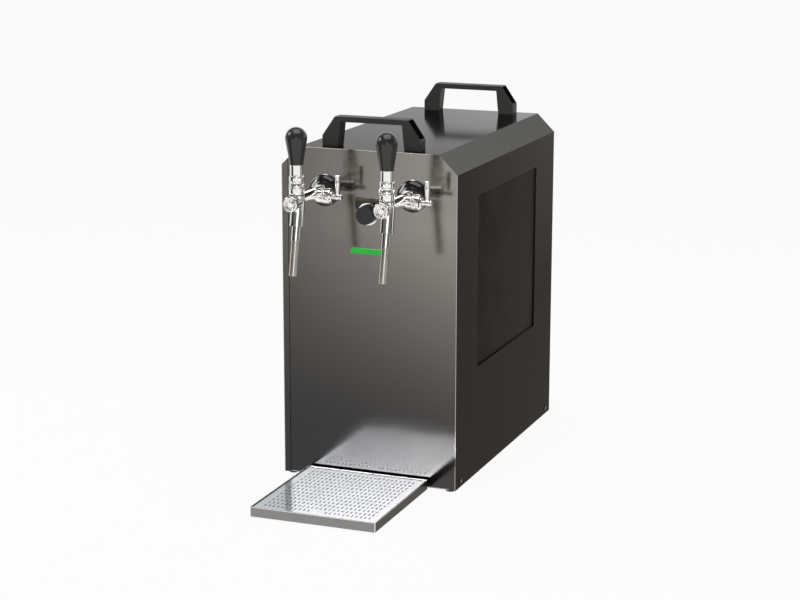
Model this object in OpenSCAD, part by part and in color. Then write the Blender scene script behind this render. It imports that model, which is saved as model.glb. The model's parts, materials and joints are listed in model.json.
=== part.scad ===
// Draft beer dispenser: a dry contact cooler in a folded steel cabinet, with two
// lever taps, their flow compensators, a thermostat and a drip tray.
// Millimetres. The part stands on Z = 0 and its front looks along -Y.
// A depth is measured back from the front plane of the cabinet, a reach forward from it.
// A height is measured up from the lower edge of the cabinet's cover.

/* [Cabinet] */
// Width over the side walls
cab_w = 280; // [260:1:340]
// Depth from the front folds to the rear folds
cab_d = 476; // [460:1:560]
// Height of the cover
cab_h = 509; // [500:1:580]
// Leg of the slope along the two long top edges
cab_chamfer = 29; // [15:1:40]
// Thickness of the cover sheet
cover_t = 1.2; // [0.8:0.1:2]
// Thickness of the front and rear panels
panel_t = 1.5; // [1:0.1:2.5]
// Width of the cover's front and rear folds
fold_w = 10; // [8:1:16]
// Thickness of the base sheet
base_t = 1.5; // [1:0.1:2.5]
// Height of the base's upturned lips
base_lip_h = 25; // [20:1:40]
// Height of the rubber feet below the cabinet
foot_h = 3; // [2:0.5:6]
// Diameter of a foot
foot_d = 14; // [10:0.5:16]
// Distance from a corner of the cabinet to the middle of its foot
foot_inset = 11; // [10:0.5:20]

/* [Side vents] */
// Distance from the front plane to the side windows
vent_depth = 96; // [70:1:120]
// Length of a side window
vent_l = 286; // [200:1:320]
// Height of a window's lower edge
vent_low = 170; // [160:1:220]
// Distance from the cabinet's top down to a window's upper edge
vent_top = 74; // [60:1:120]
// How far the mesh sits inside the wall's face
vent_recess = 3; // [2:0.5:8]
// Distance between the holes of the mesh
mesh_pitch = 15; // [13:1:30]
// Width of the strips between the holes
mesh_bar = 5; // [3:0.5:8]

/* [Carry handles] */
// Length of a carry handle
carry_w = 156; // [140:1:190]
// Height of a carry handle
carry_h = 46; // [40:1:60]
// Depth of a carry handle
carry_d = 22; // [16:1:30]
// Height of the upright ends
carry_end_h = 17; // [8:1:20]
// Length of the flat top
carry_top_w = 116; // [90:1:130]
// Width of the finger opening at its foot
carry_gap_w = 105; // [80:1:110]
// Width of the finger opening at its top
carry_gap_top_w = 97; // [70:1:100]
// Height of the finger opening
carry_gap_h = 38; // [28:1:38]
// Distance from the front or rear plane to a handle
carry_inset = 11; // [6:1:30]

/* [Controls] */
// Diameter of the thermostat knob at its foot
knob_d = 29; // [24:0.5:34]
// Diameter of the thermostat knob at its face
knob_face_d = 27.4; // [22:0.2:28]
// Length of the thermostat knob
knob_l = 14; // [10:0.5:20]
// How far the knob's axis lies below the barrels' axis
knob_drop = 31; // [25:1:50]
// Diameter of the ring round the knob's foot
ring_d = 33.4; // [30:0.2:38]
// Width of the dark plate above the knob
plate_w = 41.5; // [36:0.5:60]
// Height of the dark plate
plate_h = 18.6; // [14:0.2:24]
// Distance from the knob's axis up to the plate's lower edge
plate_lift = 5.6; // [5:0.2:12]
// Width of the plain green strip
strip_w = 60; // [40:1:90]
// Height of the green strip
strip_h = 8; // [5:0.5:14]
// How far the green strip's middle lies below the knob's axis
strip_drop = 57; // [35:1:90]

/* [Taps] */
// Distance between the two taps
tap_spacing = 140; // [130:1:170]
// How far the barrels' axis lies below the cabinet's top
tap_drop = 64; // [50:1:90]
// Reach of the handle's axis in front of the front plane
handle_reach = 101.5; // [96:0.5:110]
// Outer diameter of a barrel
barrel_d = 18; // [17.6:0.1:20]
// Outer diameter of the round cap on a barrel's end
cap_d = 22.7; // [20:0.1:26]
// Length of that cap
cap_l = 14; // [11:0.5:18]
// Diameter of the rosette at the panel
rosette_d = 48; // [40:1:56]
// Height of the rosette's dome
rosette_h = 11; // [6:0.5:14]
// Diameter of the threaded shank
shank_d = 14; // [12:0.5:15]
// Diameter of the neck's round foot below the handle
neck_d = 22; // [22:0.1:24]
// Diameter of the bonnet above the neck
bonnet_d = 23; // [22.6:0.1:25]
// Diameter of the black tap handle at its ball
grip_d = 32; // [26:0.5:36]
// Diameter of the black tap handle at its foot
grip_foot_d = 20; // [16:0.5:24]
// Length of the black tap handle
grip_l = 54.5; // [44:0.5:60]
// How far a handle tips forward to pour
pour_angle = 25; // [15:1:25]
// How far a handle tips back for foam
foam_angle = 10; // [5:1:12]
// Lean of the spout from upright
spout_lean = 12; // [5:0.5:15]
// Outer diameter of the spout's wide part
socket_d = 20.5; // [18:0.1:22]
// Diameter of the spout tube
spout_d = 13.2; // [12.4:0.1:15]
// Diameter of the steel nozzle
nozzle_d = 12; // [11:0.1:14]
// Bore of the nozzle
nozzle_bore_d = 8; // [7:0.1:9]
// Length of the steel nozzle
nozzle_l = 51; // [40:1:70]
// Reach of the compensator's axis
comp_reach = 45; // [43:0.5:48]
// Diameter of the compensator's round bonnet
comp_d = 23; // [20:0.1:25]
// Length of the compensator's finger lever above its axis
comp_lever_l = 31.5; // [24:0.5:40]
// How far the finger lever turns to each side
comp_angle = 45; // [20:1:45]

/* [Drip tray] */
// Width of the drip tray
tray_w = 195; // [160:1:240]
// Length of the drip tray
tray_l = 211; // [160:1:240]
// Height of the drip tray's wall
tray_h = 15; // [14:1:30]
// Thickness of the tray sheet
tray_t = 1.2; // [0.8:0.1:1.6]
// Gap between the tray and the front plane
tray_gap = 5; // [4:0.5:10]
// Thickness of the grid plate
grid_t = 1.2; // [0.8:0.1:2]
// How far the grid lies below the tray's rim
grid_drop = 1.6; // [0.5:0.1:3]
// Distance between the grid's slots across the tray
slot_pitch_x = 12.3; // [10:0.1:20]
// Distance between the grid's slots along the tray
slot_pitch_y = 20; // [14:0.5:30]
// Width of a slot
slot_w = 5; // [3:0.1:8]
// Length of a slot
slot_l = 14; // [8:0.5:18]

/* [Cooling] */
// Height of the shelf's top above the block, or above the compressor if that is higher
shelf_room = 8.5; // [6:0.5:14]
// Distance from a side of the cabinet to the insulated cooling block
block_side = 29; // [22:1:45]
// Depth of the insulated cooling block
block_d = 136; // [110:1:136]
// Height of the insulated cooling block
block_h = 154; // [120:1:156]
// Thickness of the insulation
foam_t = 18; // [12:1:24]
// Diameter of the compressor's shell
shell_d = 132; // [120:1:136]
// Height of the compressor's shell
shell_h = 138; // [120:1:142]
// Thickness of the condenser
cond_t = 34; // [32:1:40]
// Distance from the rear plane to the condenser
cond_behind = 106; // [100:1:140]
// Distance from the cabinet's top down to the condenser
cond_top = 83; // [60:1:120]
// Distance between the condenser's fins
fin_pitch = 8; // [5:0.5:12]
// Distance from the fan blades to the condenser's nearer edges
fan_margin = 37; // [20:1:60]
// Number of fan blades
fan_blades = 5; // [3:1:7]
// Diameter of the beer tubes
tube_d = 8; // [7:0.1:8.2]

/* [Rear] */
// How far the beer inlets stand out behind the cabinet
inlet_out = 24; // [16:1:30]
// Distance between the beer inlets
inlet_spacing = 160; // [156:1:168]
// Height of the beer inlets
inlet_height = 60; // [50:1:90]
// Diameter of the beer inlets' thread
inlet_d = 22; // [18:0.5:26]

/* [Hidden] */

// Fits and overruns
overrun = 1;
sheet_gap = 0.2;
seat_gap = 0.3;
thread_gap = 0.2;
running_gap = 0.08;
round_fn = 48;

// Where the cabinet stands: the middle of the whole part, tray to inlets, lies on Y = 0
front_y = -(cab_d + inlet_out - tray_gap - tray_l) / 2;
rear_y = front_y + cab_d;
panel_face = cover_t;
panel_low = 2;
panel_back = cover_t + panel_t;
base_top = foot_h + base_t;
half_w = cab_w / 2;
tap_height = cab_h - tap_drop;
knob_height = tap_height - knob_drop;
strip_height = knob_height - strip_drop;
vent_h = cab_h - vent_low - vent_top;

// Screws and the holes that they pass
case_screw_d = 4;
case_head_d = 6.5;
case_head_h = 1.2;
case_screw_l = 7;
case_screw_inset = 24;
case_screw_height = 9.5;
rear_screw_low = 60;
carry_screw_d = 5;
carry_screw_l = 12;
carry_head_d = 9;
carry_head_h = 3;
carry_screw_spacing = carry_gap_w + (carry_w - carry_gap_w) / 2;
foot_stem_d = 6;
foot_barb_d = 8;
foot_barb_h = 2;

// Side mesh
mesh_t = 1;
mesh_edge = 8;
mesh_margin = 4;

// Thermostat and rear controls
plate_t = 1.2;
plate_corner = 2.5;
ring_t = 1.6;
knob_clear = 0.5;
knob_socket_l = 9;
shaft_d = 6;
shaft_l = 22;
bush_d = 9;
bush_collar_d = 14;
bush_collar_t = 1;
thermo_w = 36;
thermo_d = 34;
thermo_h = 30;
strip_t = 0.4;
strip_slant = 4;
control_height = 108;
inlet_socket_x = -34;
socket_w = 27;
socket_h = 19;
socket_l = 24;
socket_flange_w = 48;
socket_flange_t = 3;
socket_recess_w = 24;
socket_recess_h = 16;
socket_recess_l = 18;
socket_pin_w = 2;
socket_pin_l = 12;
socket_pin_pitch = 7;
socket_pin_h = 4;
switch_x = 34;
switch_w = 28;
switch_h = 20;
switch_l = 20;
switch_flange = 2;
switch_flange_t = 2;
rocker_w = 20;
rocker_h = 14;
rocker_proud = 1.4;
rocker_pin_d = 3;
rocker_pin_l = 2;
rocker_pivot = 5;
rocker_angle = 8;

// Rear vents
louvre_w = 170;
louvre_h = 6;
louvre_pitch = 16;
louvre_low = 200;
louvre_top = 79;
louvre_high = cab_h - louvre_top;

// Beer inlets
inlet_bore_d = 9;
inlet_hex_d = 30;
inlet_hex_t = 6;
inlet_tail_l = 16;
inlet_nut_t = 6;
inlet_nose_d = 15;
inlet_nose_l = 7;
inlet_pipe_in = 10;

// Tap, measured forward from the front plane and up from the barrel's axis
tap_z = foot_h + tap_height;
shank_bore_d = 8.2;
shank_tail = 40;
shank_hex_d = 26;
shank_hex_t = 8;
nut_hex_d = 24;
nut_t = 7;
spigot_l = 10;
rosette_rim = 2;
rosette_step = 0.4;
rosette_front = rosette_h - panel_face;
barrel_start = rosette_front + shank_hex_t;
barrel_nose = 0.5;
barrel_end = handle_reach + neck_d / 2 + barrel_nose;
chamber_d = 12;
piston_bore_d = 12.1;
piston_gap = 0.1;
piston_l = 27;
piston_front = handle_reach + 8;
piston_flow_d = 4.5;
piston_flow_drop = 2;
cap_spigot_d = 14.6;
cap_spigot_l = 4.5;
cap_bore_l = 6;
cap_rim = 4;
cap_groove = 1.6;
cap_groove_l = 2.5;
neck_rise = 0.6;
neck_top = barrel_d / 2 + neck_rise;
gasket_t = 1.5;
gasket_in_d = 18;
bonnet_thread_d = 17.8;
bonnet_thread_l = 2.2;
bonnet_low = neck_top + gasket_t;
pivot_up = 23;
bonnet_high = pivot_up - 1.5;
bonnet_bore_d = 17.2;
ball_d = 19.2;
ear_t = (bonnet_d - ball_d) / 2 - seat_gap;
ear_w = 5;
ear_up = 3.2;
pin_d = 2.4;
rod_d = 4;
rod_l = 19;
stud_d = 6;
stud_l = 14;
collar_low = pivot_up + 5;
collar_d = 22;
collar_h = 9.5;
ferrule_d = 19;
ferrule_h = 16.5;
grip_low = collar_low + collar_h + ferrule_h;
groove_w = rod_d + 4 * seat_gap;
spout_start = handle_reach - 6.8;
spout_bore_d = 8;
socket_l_down = 37;
spout_l_down = 58.5;
socket_lip_d = 21.6;
socket_lip_h = 1.6;
nozzle_spigot_l = 8;
nozzle_spigot_wall = 1.2;
boss_d = 21;
boss_l = 18;
boss_neck_d = 17.4;
neck_low = 5;
socket_overlap = 3;
comp_thread_d = 15;
comp_bonnet_l = 15;
comp_slope = 2.5;
spindle_d = 6;
spindle_start = 6.6;
crank_d = 3;
crank_r = 3;
crank_l = 5.6;
crank_rim = 0.1;
crank_disc_d = 2 * crank_r + crank_d + 2 * crank_rim;
comp_spigot_start = barrel_d / 2 + overrun + seat_gap;
hub_d = 8.5;
hub_l = 14;
lever_x = 40;
lever_low_d = 5.2;
lever_high_d = 7.6;
lever_cap_h = 2;
cone_big_d = chamber_d - 2 * seat_gap;
cone_small_d = 7;
cone_l = 22;
cone_start = comp_reach - cone_l / 2;
cone_travel = crank_r * comp_angle * PI / 180;
chamber_gap = 3.6;
wall_reach = comp_reach + cone_l / 2 + cone_travel + chamber_gap;
valve_wall_t = 4;
valve_start = wall_reach + valve_wall_t;
piston_travel = rod_l * pour_angle * PI / 180;
slot_forward = rod_l * sin(foam_angle) + rod_d / 2 + seat_gap;
slot_back = rod_l * sin(pour_angle) + rod_d / 2 + seat_gap;

// Drip tray
pad_d = 12;
pad_inset = 14;
tray_z = foot_h;
grid_side_gap = 0.6;
grid_skirt_t = 1;
grid_margin = 11;
finger_w = 14;
finger_h = 7;
finger_inset = 17;
magnet_d = 11;
magnet_spacing = 120;
magnet_height = 8;

// Inside
shelf_t = 1.5;
shelf_side_gap = 14;
shelf_half_w = half_w - shelf_side_gap;
shelf_front = 100;
shelf_behind = 36;
shelf_back = cab_d - shelf_behind;
shelf_hole_gap = 2;
block_depth = 14;
block_w = cab_w - 2 * block_side;
riser_depth = 70;
compressor_behind = 176;
compressor_depth = cab_d - compressor_behind;
mount_h = 10;
mount_d = 22;
mount_waist_d = 9;
mount_cap_d = 15;
mount_cap_h = 3;
plate_foot_w = 150;
plate_foot_d = 118;
plate_foot_t = 3;
mount_inset = 12;
seam_d = 6;
seam_h = 4;
shelf_height = base_t + max(block_h, mount_h + shell_h) + shelf_room;
cond_x = shelf_half_w - cond_t;
cond_depth = 110;
cond_l = cab_d - cond_depth - cond_behind;
cond_h = cab_h - shelf_height - cond_top;
fan_d = min(cond_l, cond_h) - 2 * fan_margin;
cond_core_t = 8;
fin_t = 1.2;
shroud_t = 1.5;
shroud_l = 12;
shroud_ring_l = 14;
fan_gap = 7;
fan_l = 18;
hub_fan_d = 50;
blade_t = 2;
blade_pitch = 32;
motor_d = 58;
motor_l = 44;
motor_gap = 4;
motor_arm_w = 12;
motor_arm_t = 3;
fan_shaft_d = 6;
fan_shaft_l = 30;
pipe_d = 6.4;
pipe_bend = 12;
pipe_wall = 0.8;
beer_bend = 22;
stub_l = 6;
stub_wall = 1;
stub_share = 0.62;
dryer_d = 18;
dryer_l = 70;
dryer_top = 140;
hot_side = 28;
liquid_side = 12;
hot_behind = 45;
liquid_behind = 20;
hot_depth = cond_depth + cond_l + hot_behind;
liquid_depth = cond_depth + cond_l + liquid_behind;
liquid_low = 45;
liquid_after = 50;
liquid_turn = block_depth + block_d + liquid_after;
liquid_in_x = 60;
suction_lead = 16;
pipe_edge = 20;
sensor_d = 3;
sensor_x = 12;
sensor_inset = 3;

metal_top = base_top + block_h - foam_t;
metal_back = block_depth + block_d - foam_t;
stub_x = shell_d / 2 + stub_l;
suction_x = stub_x + suction_lead;
stub_z = base_top + mount_h + shell_h * stub_share;
hot_x = shelf_half_w - hot_side;
liquid_x = shelf_half_w - liquid_side;
sensor_depth = block_depth + foam_t + sensor_inset;

// Shapes shared by several pieces

// Outline of the cabinet seen from the front, drawn in by an inset
function cover_outline(inset, low = 0) =
  let (
    half = half_w - inset,
    top = cab_h - inset,
    leg = cab_chamfer - inset * (2 - sqrt(2))
  )
  [
    [-half, low], [-half, top - leg], [-half + leg, top],
    [half - leg, top], [half, top - leg], [half, low]
  ];

// Extrudes a front-view outline back from a depth
module slab(depth, length) {
  translate([0, front_y + depth + length, foot_h])
    rotate([90, 0, 0])
      linear_extrude(length)
        children();
}

// A round bar along Y that starts at a depth
module bar_back(depth, length, d) {
  translate([0, depth, 0])
    rotate([-90, 0, 0])
      cylinder(d = d, h = length, $fn = round_fn);
}

// A round bar along -Y that starts at a reach
module bar_front(reach, length, d) {
  translate([0, -reach, 0])
    rotate([90, 0, 0])
      cylinder(d = d, h = length, $fn = round_fn);
}

// A round bar along +X
module bar_right(start, length, d) {
  translate([start, 0, 0])
    rotate([0, 90, 0])
      cylinder(d = d, h = length, $fn = round_fn);
}

// Places a piece on a tap: side is -1 for the left tap and 1 for the right
module at_tap(side) {
  translate([side * tap_spacing / 2, front_y, tap_z])
    children();
}

// Puts the local Z axis on the spout, pointing down and forward from the barrel
module on_spout() {
  translate([0, -spout_start, 0])
    rotate([180 - spout_lean, 0, 0])
      children();
}

function unit(v) = v / norm(v);

// How far a bend of this radius starts before the corner at point i of a route
function setback(points, i, r) =
  i == 0 || i == len(points) - 1
    ? 0
    : r * tan(turn_angle(points, i) / 2);
function turn_angle(points, i) =
  acos(unit(points[i] - points[i - 1]) * unit(points[i + 1] - points[i]));

// Places the local Z axis along a direction
module along(p, d) {
  length = norm(d);
  translate(p)
    rotate([0, acos(d[2] / length), atan2(d[1], d[0])])
      children();
}

// A round tube along a route of straight runs, with a true bend at each corner
module tube_route(points, d, wall, r) {
  for (i = [0 : len(points) - 2]) {
    way = unit(points[i + 1] - points[i]);
    start = points[i] + way * setback(points, i, r);
    run = norm(points[i + 1] - points[i]) - setback(points, i, r) - setback(points, i + 1, r);
    along(start, way)
      linear_extrude(run)
        tube_ring(d, wall);
  }
  for (i = [1 : 1 : len(points) - 2]) {
    way_in = unit(points[i] - points[i - 1]);
    way_out = unit(points[i + 1] - points[i]);
    inward = unit(way_out - way_in * (way_in * way_out));
    middle = points[i] - way_in * setback(points, i, r) + inward * r;
    axis = cross(way_in, inward);
    multmatrix([
      [-inward[0], way_in[0], axis[0], middle[0]],
      [-inward[1], way_in[1], axis[1], middle[1]],
      [-inward[2], way_in[2], axis[2], middle[2]],
      [0, 0, 0, 1]
    ])
      rotate_extrude(angle = turn_angle(points, i), $fn = round_fn)
        translate([r, 0])
          tube_ring(d, wall);
  }
}

module tube_ring(d, wall) {
  difference() {
    circle(d = d, $fn = round_fn / 2);
    circle(d = d - 2 * wall, $fn = round_fn / 2);
  }
}

// Cabinet

module base_pan() {
  wide = cab_w - 2 * cover_t - 2 * sheet_gap;
  deep = cab_d - 2 * panel_back - 2 * sheet_gap;
  color("silver")
    difference() {
      translate([-wide / 2, front_y + panel_back + sheet_gap, foot_h])
        cube([wide, deep, base_lip_h]);
      translate([-wide / 2 + base_t, front_y + panel_back + sheet_gap + base_t, base_top])
        cube([wide - 2 * base_t, deep - 2 * base_t, base_lip_h]);
      for (side = [-1, 1], y = [front_y + foot_inset, rear_y - foot_inset])
        translate([side * (half_w - foot_inset), y, foot_h - overrun])
          cylinder(d = foot_stem_d + thread_gap, h = base_t + 2 * overrun, $fn = round_fn);
      case_screw_holes();
    }
}

// The beer inlets' axes, with the origin on the rear plane
module rear_inlet_places() {
  for (side = [-1, 1])
    translate([side * inlet_spacing / 2, rear_y, foot_h + inlet_height])
      children();
}

module case_screw_places() {
  for (side = [-1, 1], y = [front_y + case_screw_inset, rear_y - case_screw_inset])
    translate([side * half_w, y, foot_h + case_screw_height])
      rotate([0, side * 90, 0])
        children();
  for (side = [-1, 1], z = [rear_screw_low, cab_h - 2 * cab_chamfer])
    translate([side * (half_w - fold_w / 2 - cover_t / 2), rear_y, foot_h + z])
      rotate([-90, 0, 0])
        children();
}

module case_screw_holes() {
  case_screw_places()
    translate([0, 0, -case_screw_l - overrun])
      cylinder(d = case_screw_d + thread_gap, h = case_screw_l + 2 * overrun, $fn = round_fn);
}

module carry_screw_places() {
  for (side = [-1, 1], depth = [carry_inset, cab_d - carry_inset - carry_d])
    translate([side * carry_screw_spacing / 2, front_y + depth + carry_d / 2, foot_h + cab_h])
      children();
}

module wrap_cover() {
  color([0.23, 0.22, 0.21])
    difference() {
      union() {
        difference() {
          slab(0, cab_d)
            polygon(cover_outline(0));
          slab(-overrun, cab_d + 2 * overrun)
            polygon(cover_outline(cover_t, -overrun));
        }
        slab(0, cover_t)
          fold_outline();
        slab(cab_d - cover_t, cover_t)
          fold_outline();
        for (side = [-1, 1])
          window_lips(side);
      }
      for (side = [-1, 1])
        window_cut(side, 0, cover_t + vent_recess);
      case_screw_holes();
      carry_screw_places()
        translate([0, 0, -cover_t - overrun])
          cylinder(d = carry_screw_d + thread_gap, h = cover_t + 2 * overrun, $fn = round_fn);
    }
}

module fold_outline() {
  intersection() {
    polygon(cover_outline(0));
    union() {
      for (side = [-1, 1])
        translate([side * (half_w - fold_w / 2), cab_h / 2])
          square([fold_w, cab_h], center = true);
    }
  }
}

// A box in one side wall, wider than the window by an edge all round
module window_box(side, edge, inner, outer) {
  translate([
    side * (half_w - (inner - outer) / 2) - (inner + outer) / 2,
    front_y + vent_depth - edge,
    foot_h + vent_low - edge
  ])
    cube([inner + outer, vent_l + 2 * edge, vent_h + 2 * edge]);
}

module window_lips(side) {
  difference() {
    window_box(side, cover_t, vent_recess, 0);
    window_box(side, 0, vent_recess + overrun, overrun);
  }
}

module window_cut(side, edge, inner) {
  window_box(side, edge, inner, overrun);
}

module panel_outline() {
  intersection() {
    polygon(cover_outline(cover_t + sheet_gap));
    translate([-half_w, panel_low])
      square([cab_w, cab_h]);
  }
}

module front_panel() {
  color([0.45, 0.43, 0.41])
    difference() {
      slab(panel_face, panel_t)
        panel_outline();
      for (side = [-1, 1])
        at_tap(side)
          bar_back(-overrun, panel_back + 2 * overrun, shank_d + thread_gap);
      at_knob()
        bar_back(-overrun, panel_back + 2 * overrun, bush_d + thread_gap);
    }
}

module rear_panel() {
  rows = floor((louvre_high - louvre_low) / louvre_pitch);
  color([0.5, 0.48, 0.46])
    difference() {
      slab(cab_d - panel_back, panel_t)
        difference() {
          panel_outline();
          for (row = [0 : rows])
            translate([-louvre_w / 2, louvre_low + row * louvre_pitch])
              square([louvre_w, louvre_h]);
          translate([inlet_socket_x - socket_w / 2, control_height - socket_h / 2])
            square([socket_w, socket_h]);
          translate([switch_x - switch_w / 2, control_height - switch_h / 2])
            square([switch_w, switch_h]);
        }
      rear_inlet_places()
        bar_back(-panel_back - overrun, panel_back + 2 * overrun, inlet_d + thread_gap);
      case_screw_holes();
    }
}

module vent_mesh(side) {
  across = floor((vent_l - 2 * mesh_margin + mesh_bar) / mesh_pitch);
  up = floor((vent_h - 2 * mesh_margin + mesh_bar) / mesh_pitch);
  hole = mesh_pitch - mesh_bar;
  first_y = (vent_l - across * mesh_pitch + mesh_bar) / 2;
  first_z = (vent_h - up * mesh_pitch + mesh_bar) / 2;
  color([0.16, 0.155, 0.15])
    translate([
      side * (half_w - vent_recess - mesh_t / 2) - mesh_t / 2,
      front_y + vent_depth,
      foot_h + vent_low
    ])
      rotate([90, 0, 90])
        linear_extrude(mesh_t)
          difference() {
            translate([-mesh_edge, -mesh_edge])
              square([vent_l + 2 * mesh_edge, vent_h + 2 * mesh_edge]);
            for (i = [0 : across - 1], j = [0 : up - 1])
              translate([first_y + i * mesh_pitch, first_z + j * mesh_pitch])
                square(hole);
          }
}
module left_vent_mesh() { vent_mesh(-1); }
module right_vent_mesh() { vent_mesh(1); }

module carry_handle(depth) {
  color([0.1, 0.1, 0.1])
    difference() {
      translate([0, front_y + depth + carry_d, foot_h + cab_h])
        rotate([90, 0, 0])
          linear_extrude(carry_d)
            polygon([
              [-carry_w / 2, 0], [-carry_w / 2, carry_end_h], [-carry_top_w / 2, carry_h],
              [carry_top_w / 2, carry_h], [carry_w / 2, carry_end_h], [carry_w / 2, 0],
              [carry_gap_w / 2, 0], [carry_gap_top_w / 2, carry_gap_h],
              [-carry_gap_top_w / 2, carry_gap_h], [-carry_gap_w / 2, 0]
            ]);
      carry_screw_places()
        translate([0, 0, -overrun])
          cylinder(d = carry_screw_d + thread_gap, h = carry_screw_l + 2 * overrun, $fn = round_fn);
    }
}
module front_carry_handle() { carry_handle(carry_inset); }
module rear_carry_handle() { carry_handle(cab_d - carry_inset - carry_d); }

module carry_handle_screws() {
  color("dimgray")
    carry_screw_places() {
      translate([0, 0, -cover_t - carry_head_h])
        cylinder(d = carry_head_d, h = carry_head_h, $fn = round_fn);
      translate([0, 0, -cover_t - carry_head_h])
        cylinder(d = carry_screw_d, h = carry_screw_l + cover_t + carry_head_h, $fn = round_fn);
    }
}

module case_screws() {
  color([0.2, 0.19, 0.18])
    case_screw_places() {
      cylinder(d = case_head_d, h = case_head_h, $fn = round_fn);
      translate([0, 0, -case_screw_l])
        cylinder(d = case_screw_d, h = case_screw_l + case_head_h, $fn = round_fn);
    }
}

module rubber_feet() {
  color([0.06, 0.06, 0.06])
    for (side = [-1, 1], y = [front_y + foot_inset, rear_y - foot_inset])
      translate([side * (half_w - foot_inset), y, 0]) {
        cylinder(d = foot_d, h = foot_h, $fn = round_fn);
        cylinder(d = foot_stem_d, h = base_top + foot_barb_h, $fn = round_fn);
        translate([0, 0, base_top])
          cylinder(d = foot_barb_d, h = foot_barb_h, $fn = round_fn);
      }
}

module accent_strip() {
  color([0.25, 0.85, 0.3])
    slab(panel_face - strip_t, strip_t)
      polygon([
        [-strip_w / 2, strip_height - strip_h / 2], [-strip_w / 2 + strip_slant, strip_height + strip_h / 2],
        [strip_w / 2, strip_height + strip_h / 2], [strip_w / 2 - strip_slant, strip_height - strip_h / 2]
      ]);
}

// Controls on the front panel

module at_knob() {
  translate([0, front_y, foot_h + knob_height])
    children();
}

module dial_plate() {
  color([0.08, 0.07, 0.06])
    slab(panel_face - plate_t, plate_t)
      translate([0, knob_height + plate_lift + plate_h / 2])
        rounded_square(plate_w, plate_h, plate_corner);
}

module rounded_square(w, h, r) {
  square([w - 2 * r, h], center = true);
  square([w, h - 2 * r], center = true);
  for (x = [-1, 1], y = [-1, 1])
    translate([x * (w / 2 - r), y * (h / 2 - r)])
      circle(r = r, $fn = round_fn);
}

module knob_ring() {
  ring_reach = plate_t - panel_face;
  color("gainsboro")
    at_knob()
      difference() {
        union() {
          bar_front(ring_reach, ring_t, ring_d);
          bar_front(-panel_face, ring_reach + panel_face + ring_t, bush_collar_d);
        }
        bar_front(-panel_face - overrun, plate_t + ring_t + 2 * overrun, bush_d + thread_gap);
        translate([0, 0, plate_lift + plate_h / 2])
          rotate([90, 0, 0])
            translate([0, 0, -panel_face - overrun])
              linear_extrude(plate_t + overrun)
                rounded_square(plate_w, plate_h, plate_corner);
      }
}

module thermostat_knob() {
  knob_reach = plate_t - panel_face + ring_t + knob_clear;
  pointer_w = 2;
  pointer_cut = 0.6;
  color([0.12, 0.12, 0.12])
    at_knob()
      difference() {
        translate([0, -knob_reach, 0])
          rotate([90, 0, 0])
            cylinder(d1 = knob_d, d2 = knob_face_d, h = knob_l, $fn = round_fn);
        bar_front(knob_reach - overrun, knob_socket_l + overrun, shaft_d + running_gap / 2);
        translate([-pointer_w / 2, -knob_reach - knob_l - overrun, knob_face_d / 4])
          cube([pointer_w, overrun + pointer_cut, knob_d / 2]);
      }
}

module thermostat_shaft() {
  knob_reach = plate_t - panel_face + ring_t + knob_clear;
  color("silver")
    at_knob()
      bar_front(knob_reach + knob_socket_l - shaft_l, shaft_l - seat_gap, shaft_d);
}

module thermostat_body() {
  bush_front = plate_t - panel_face + ring_t;
  tail = shaft_l - knob_socket_l;
  color([0.75, 0.72, 0.65])
    at_knob()
      difference() {
        union() {
          translate([-thermo_w / 2, panel_back + bush_collar_t, -thermo_h / 2])
            cube([thermo_w, thermo_d, thermo_h]);
          bar_front(-panel_back - bush_collar_t, panel_back + bush_collar_t + bush_front, bush_d);
          bar_front(-panel_back - bush_collar_t, bush_collar_t, bush_collar_d);
          translate([sensor_x, sensor_depth, metal_top - foot_h - knob_height])
            cylinder(d = sensor_d, h = foot_h + knob_height - metal_top, $fn = round_fn);
        }
        bar_front(-tail - overrun, tail + bush_front + 2 * overrun, shaft_d + 2 * running_gap);
      }
}

// Rear fittings

module at_socket() {
  translate([inlet_socket_x, rear_y - cover_t, foot_h + control_height])
    children();
}

module power_inlet() {
  color([0.07, 0.07, 0.07])
    at_socket() {
      difference() {
        union() {
          translate([-socket_flange_w / 2, 0, -socket_h / 2 - socket_flange_t])
            cube([socket_flange_w, socket_flange_t, socket_h + 2 * socket_flange_t]);
          translate([
            -socket_w / 2 + thread_gap, -socket_l, -socket_h / 2 + thread_gap
          ])
            cube([socket_w - 2 * thread_gap, socket_l + socket_flange_t, socket_h - 2 * thread_gap]);
        }
        translate([-socket_recess_w / 2, socket_flange_t - socket_recess_l, -socket_recess_h / 2])
          cube([socket_recess_w, socket_recess_l + overrun, socket_recess_h]);
      }
      for (pin = [[-1, -1], [0, 1], [1, -1]])
        translate([
          pin[0] * socket_pin_pitch - socket_pin_w / 2,
          socket_flange_t - socket_recess_l - overrun,
          pin[1] * socket_pin_w - socket_pin_h / 2
        ])
          cube([socket_pin_w, socket_pin_l + overrun, socket_pin_h]);
    }
}

module at_switch() {
  translate([switch_x, rear_y - cover_t, foot_h + control_height])
    children();
}

module switch_housing() {
  opening_w = rocker_w + 2 * seat_gap;
  opening_h = rocker_h + 2 * seat_gap;
  color([0.09, 0.09, 0.09])
    at_switch()
      difference() {
        union() {
          translate([-switch_w / 2 - switch_flange, 0, -switch_h / 2 - switch_flange])
            cube([switch_w + 2 * switch_flange, switch_flange_t, switch_h + 2 * switch_flange]);
          translate([-switch_w / 2 + thread_gap, -switch_l, -switch_h / 2 + thread_gap])
            cube([switch_w - 2 * thread_gap, switch_l + switch_flange_t, switch_h - 2 * thread_gap]);
        }
        translate([-opening_w / 2, -switch_l / 2 - rocker_pivot, -opening_h / 2])
          cube([opening_w, switch_l, opening_h]);
        translate([0, switch_flange_t - rocker_pivot, 0])
          bar_right(
            -opening_w / 2 - rocker_pin_l - seat_gap,
            opening_w + 2 * rocker_pin_l + 2 * seat_gap,
            rocker_pin_d + 2 * running_gap
          );
      }
}

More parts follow.
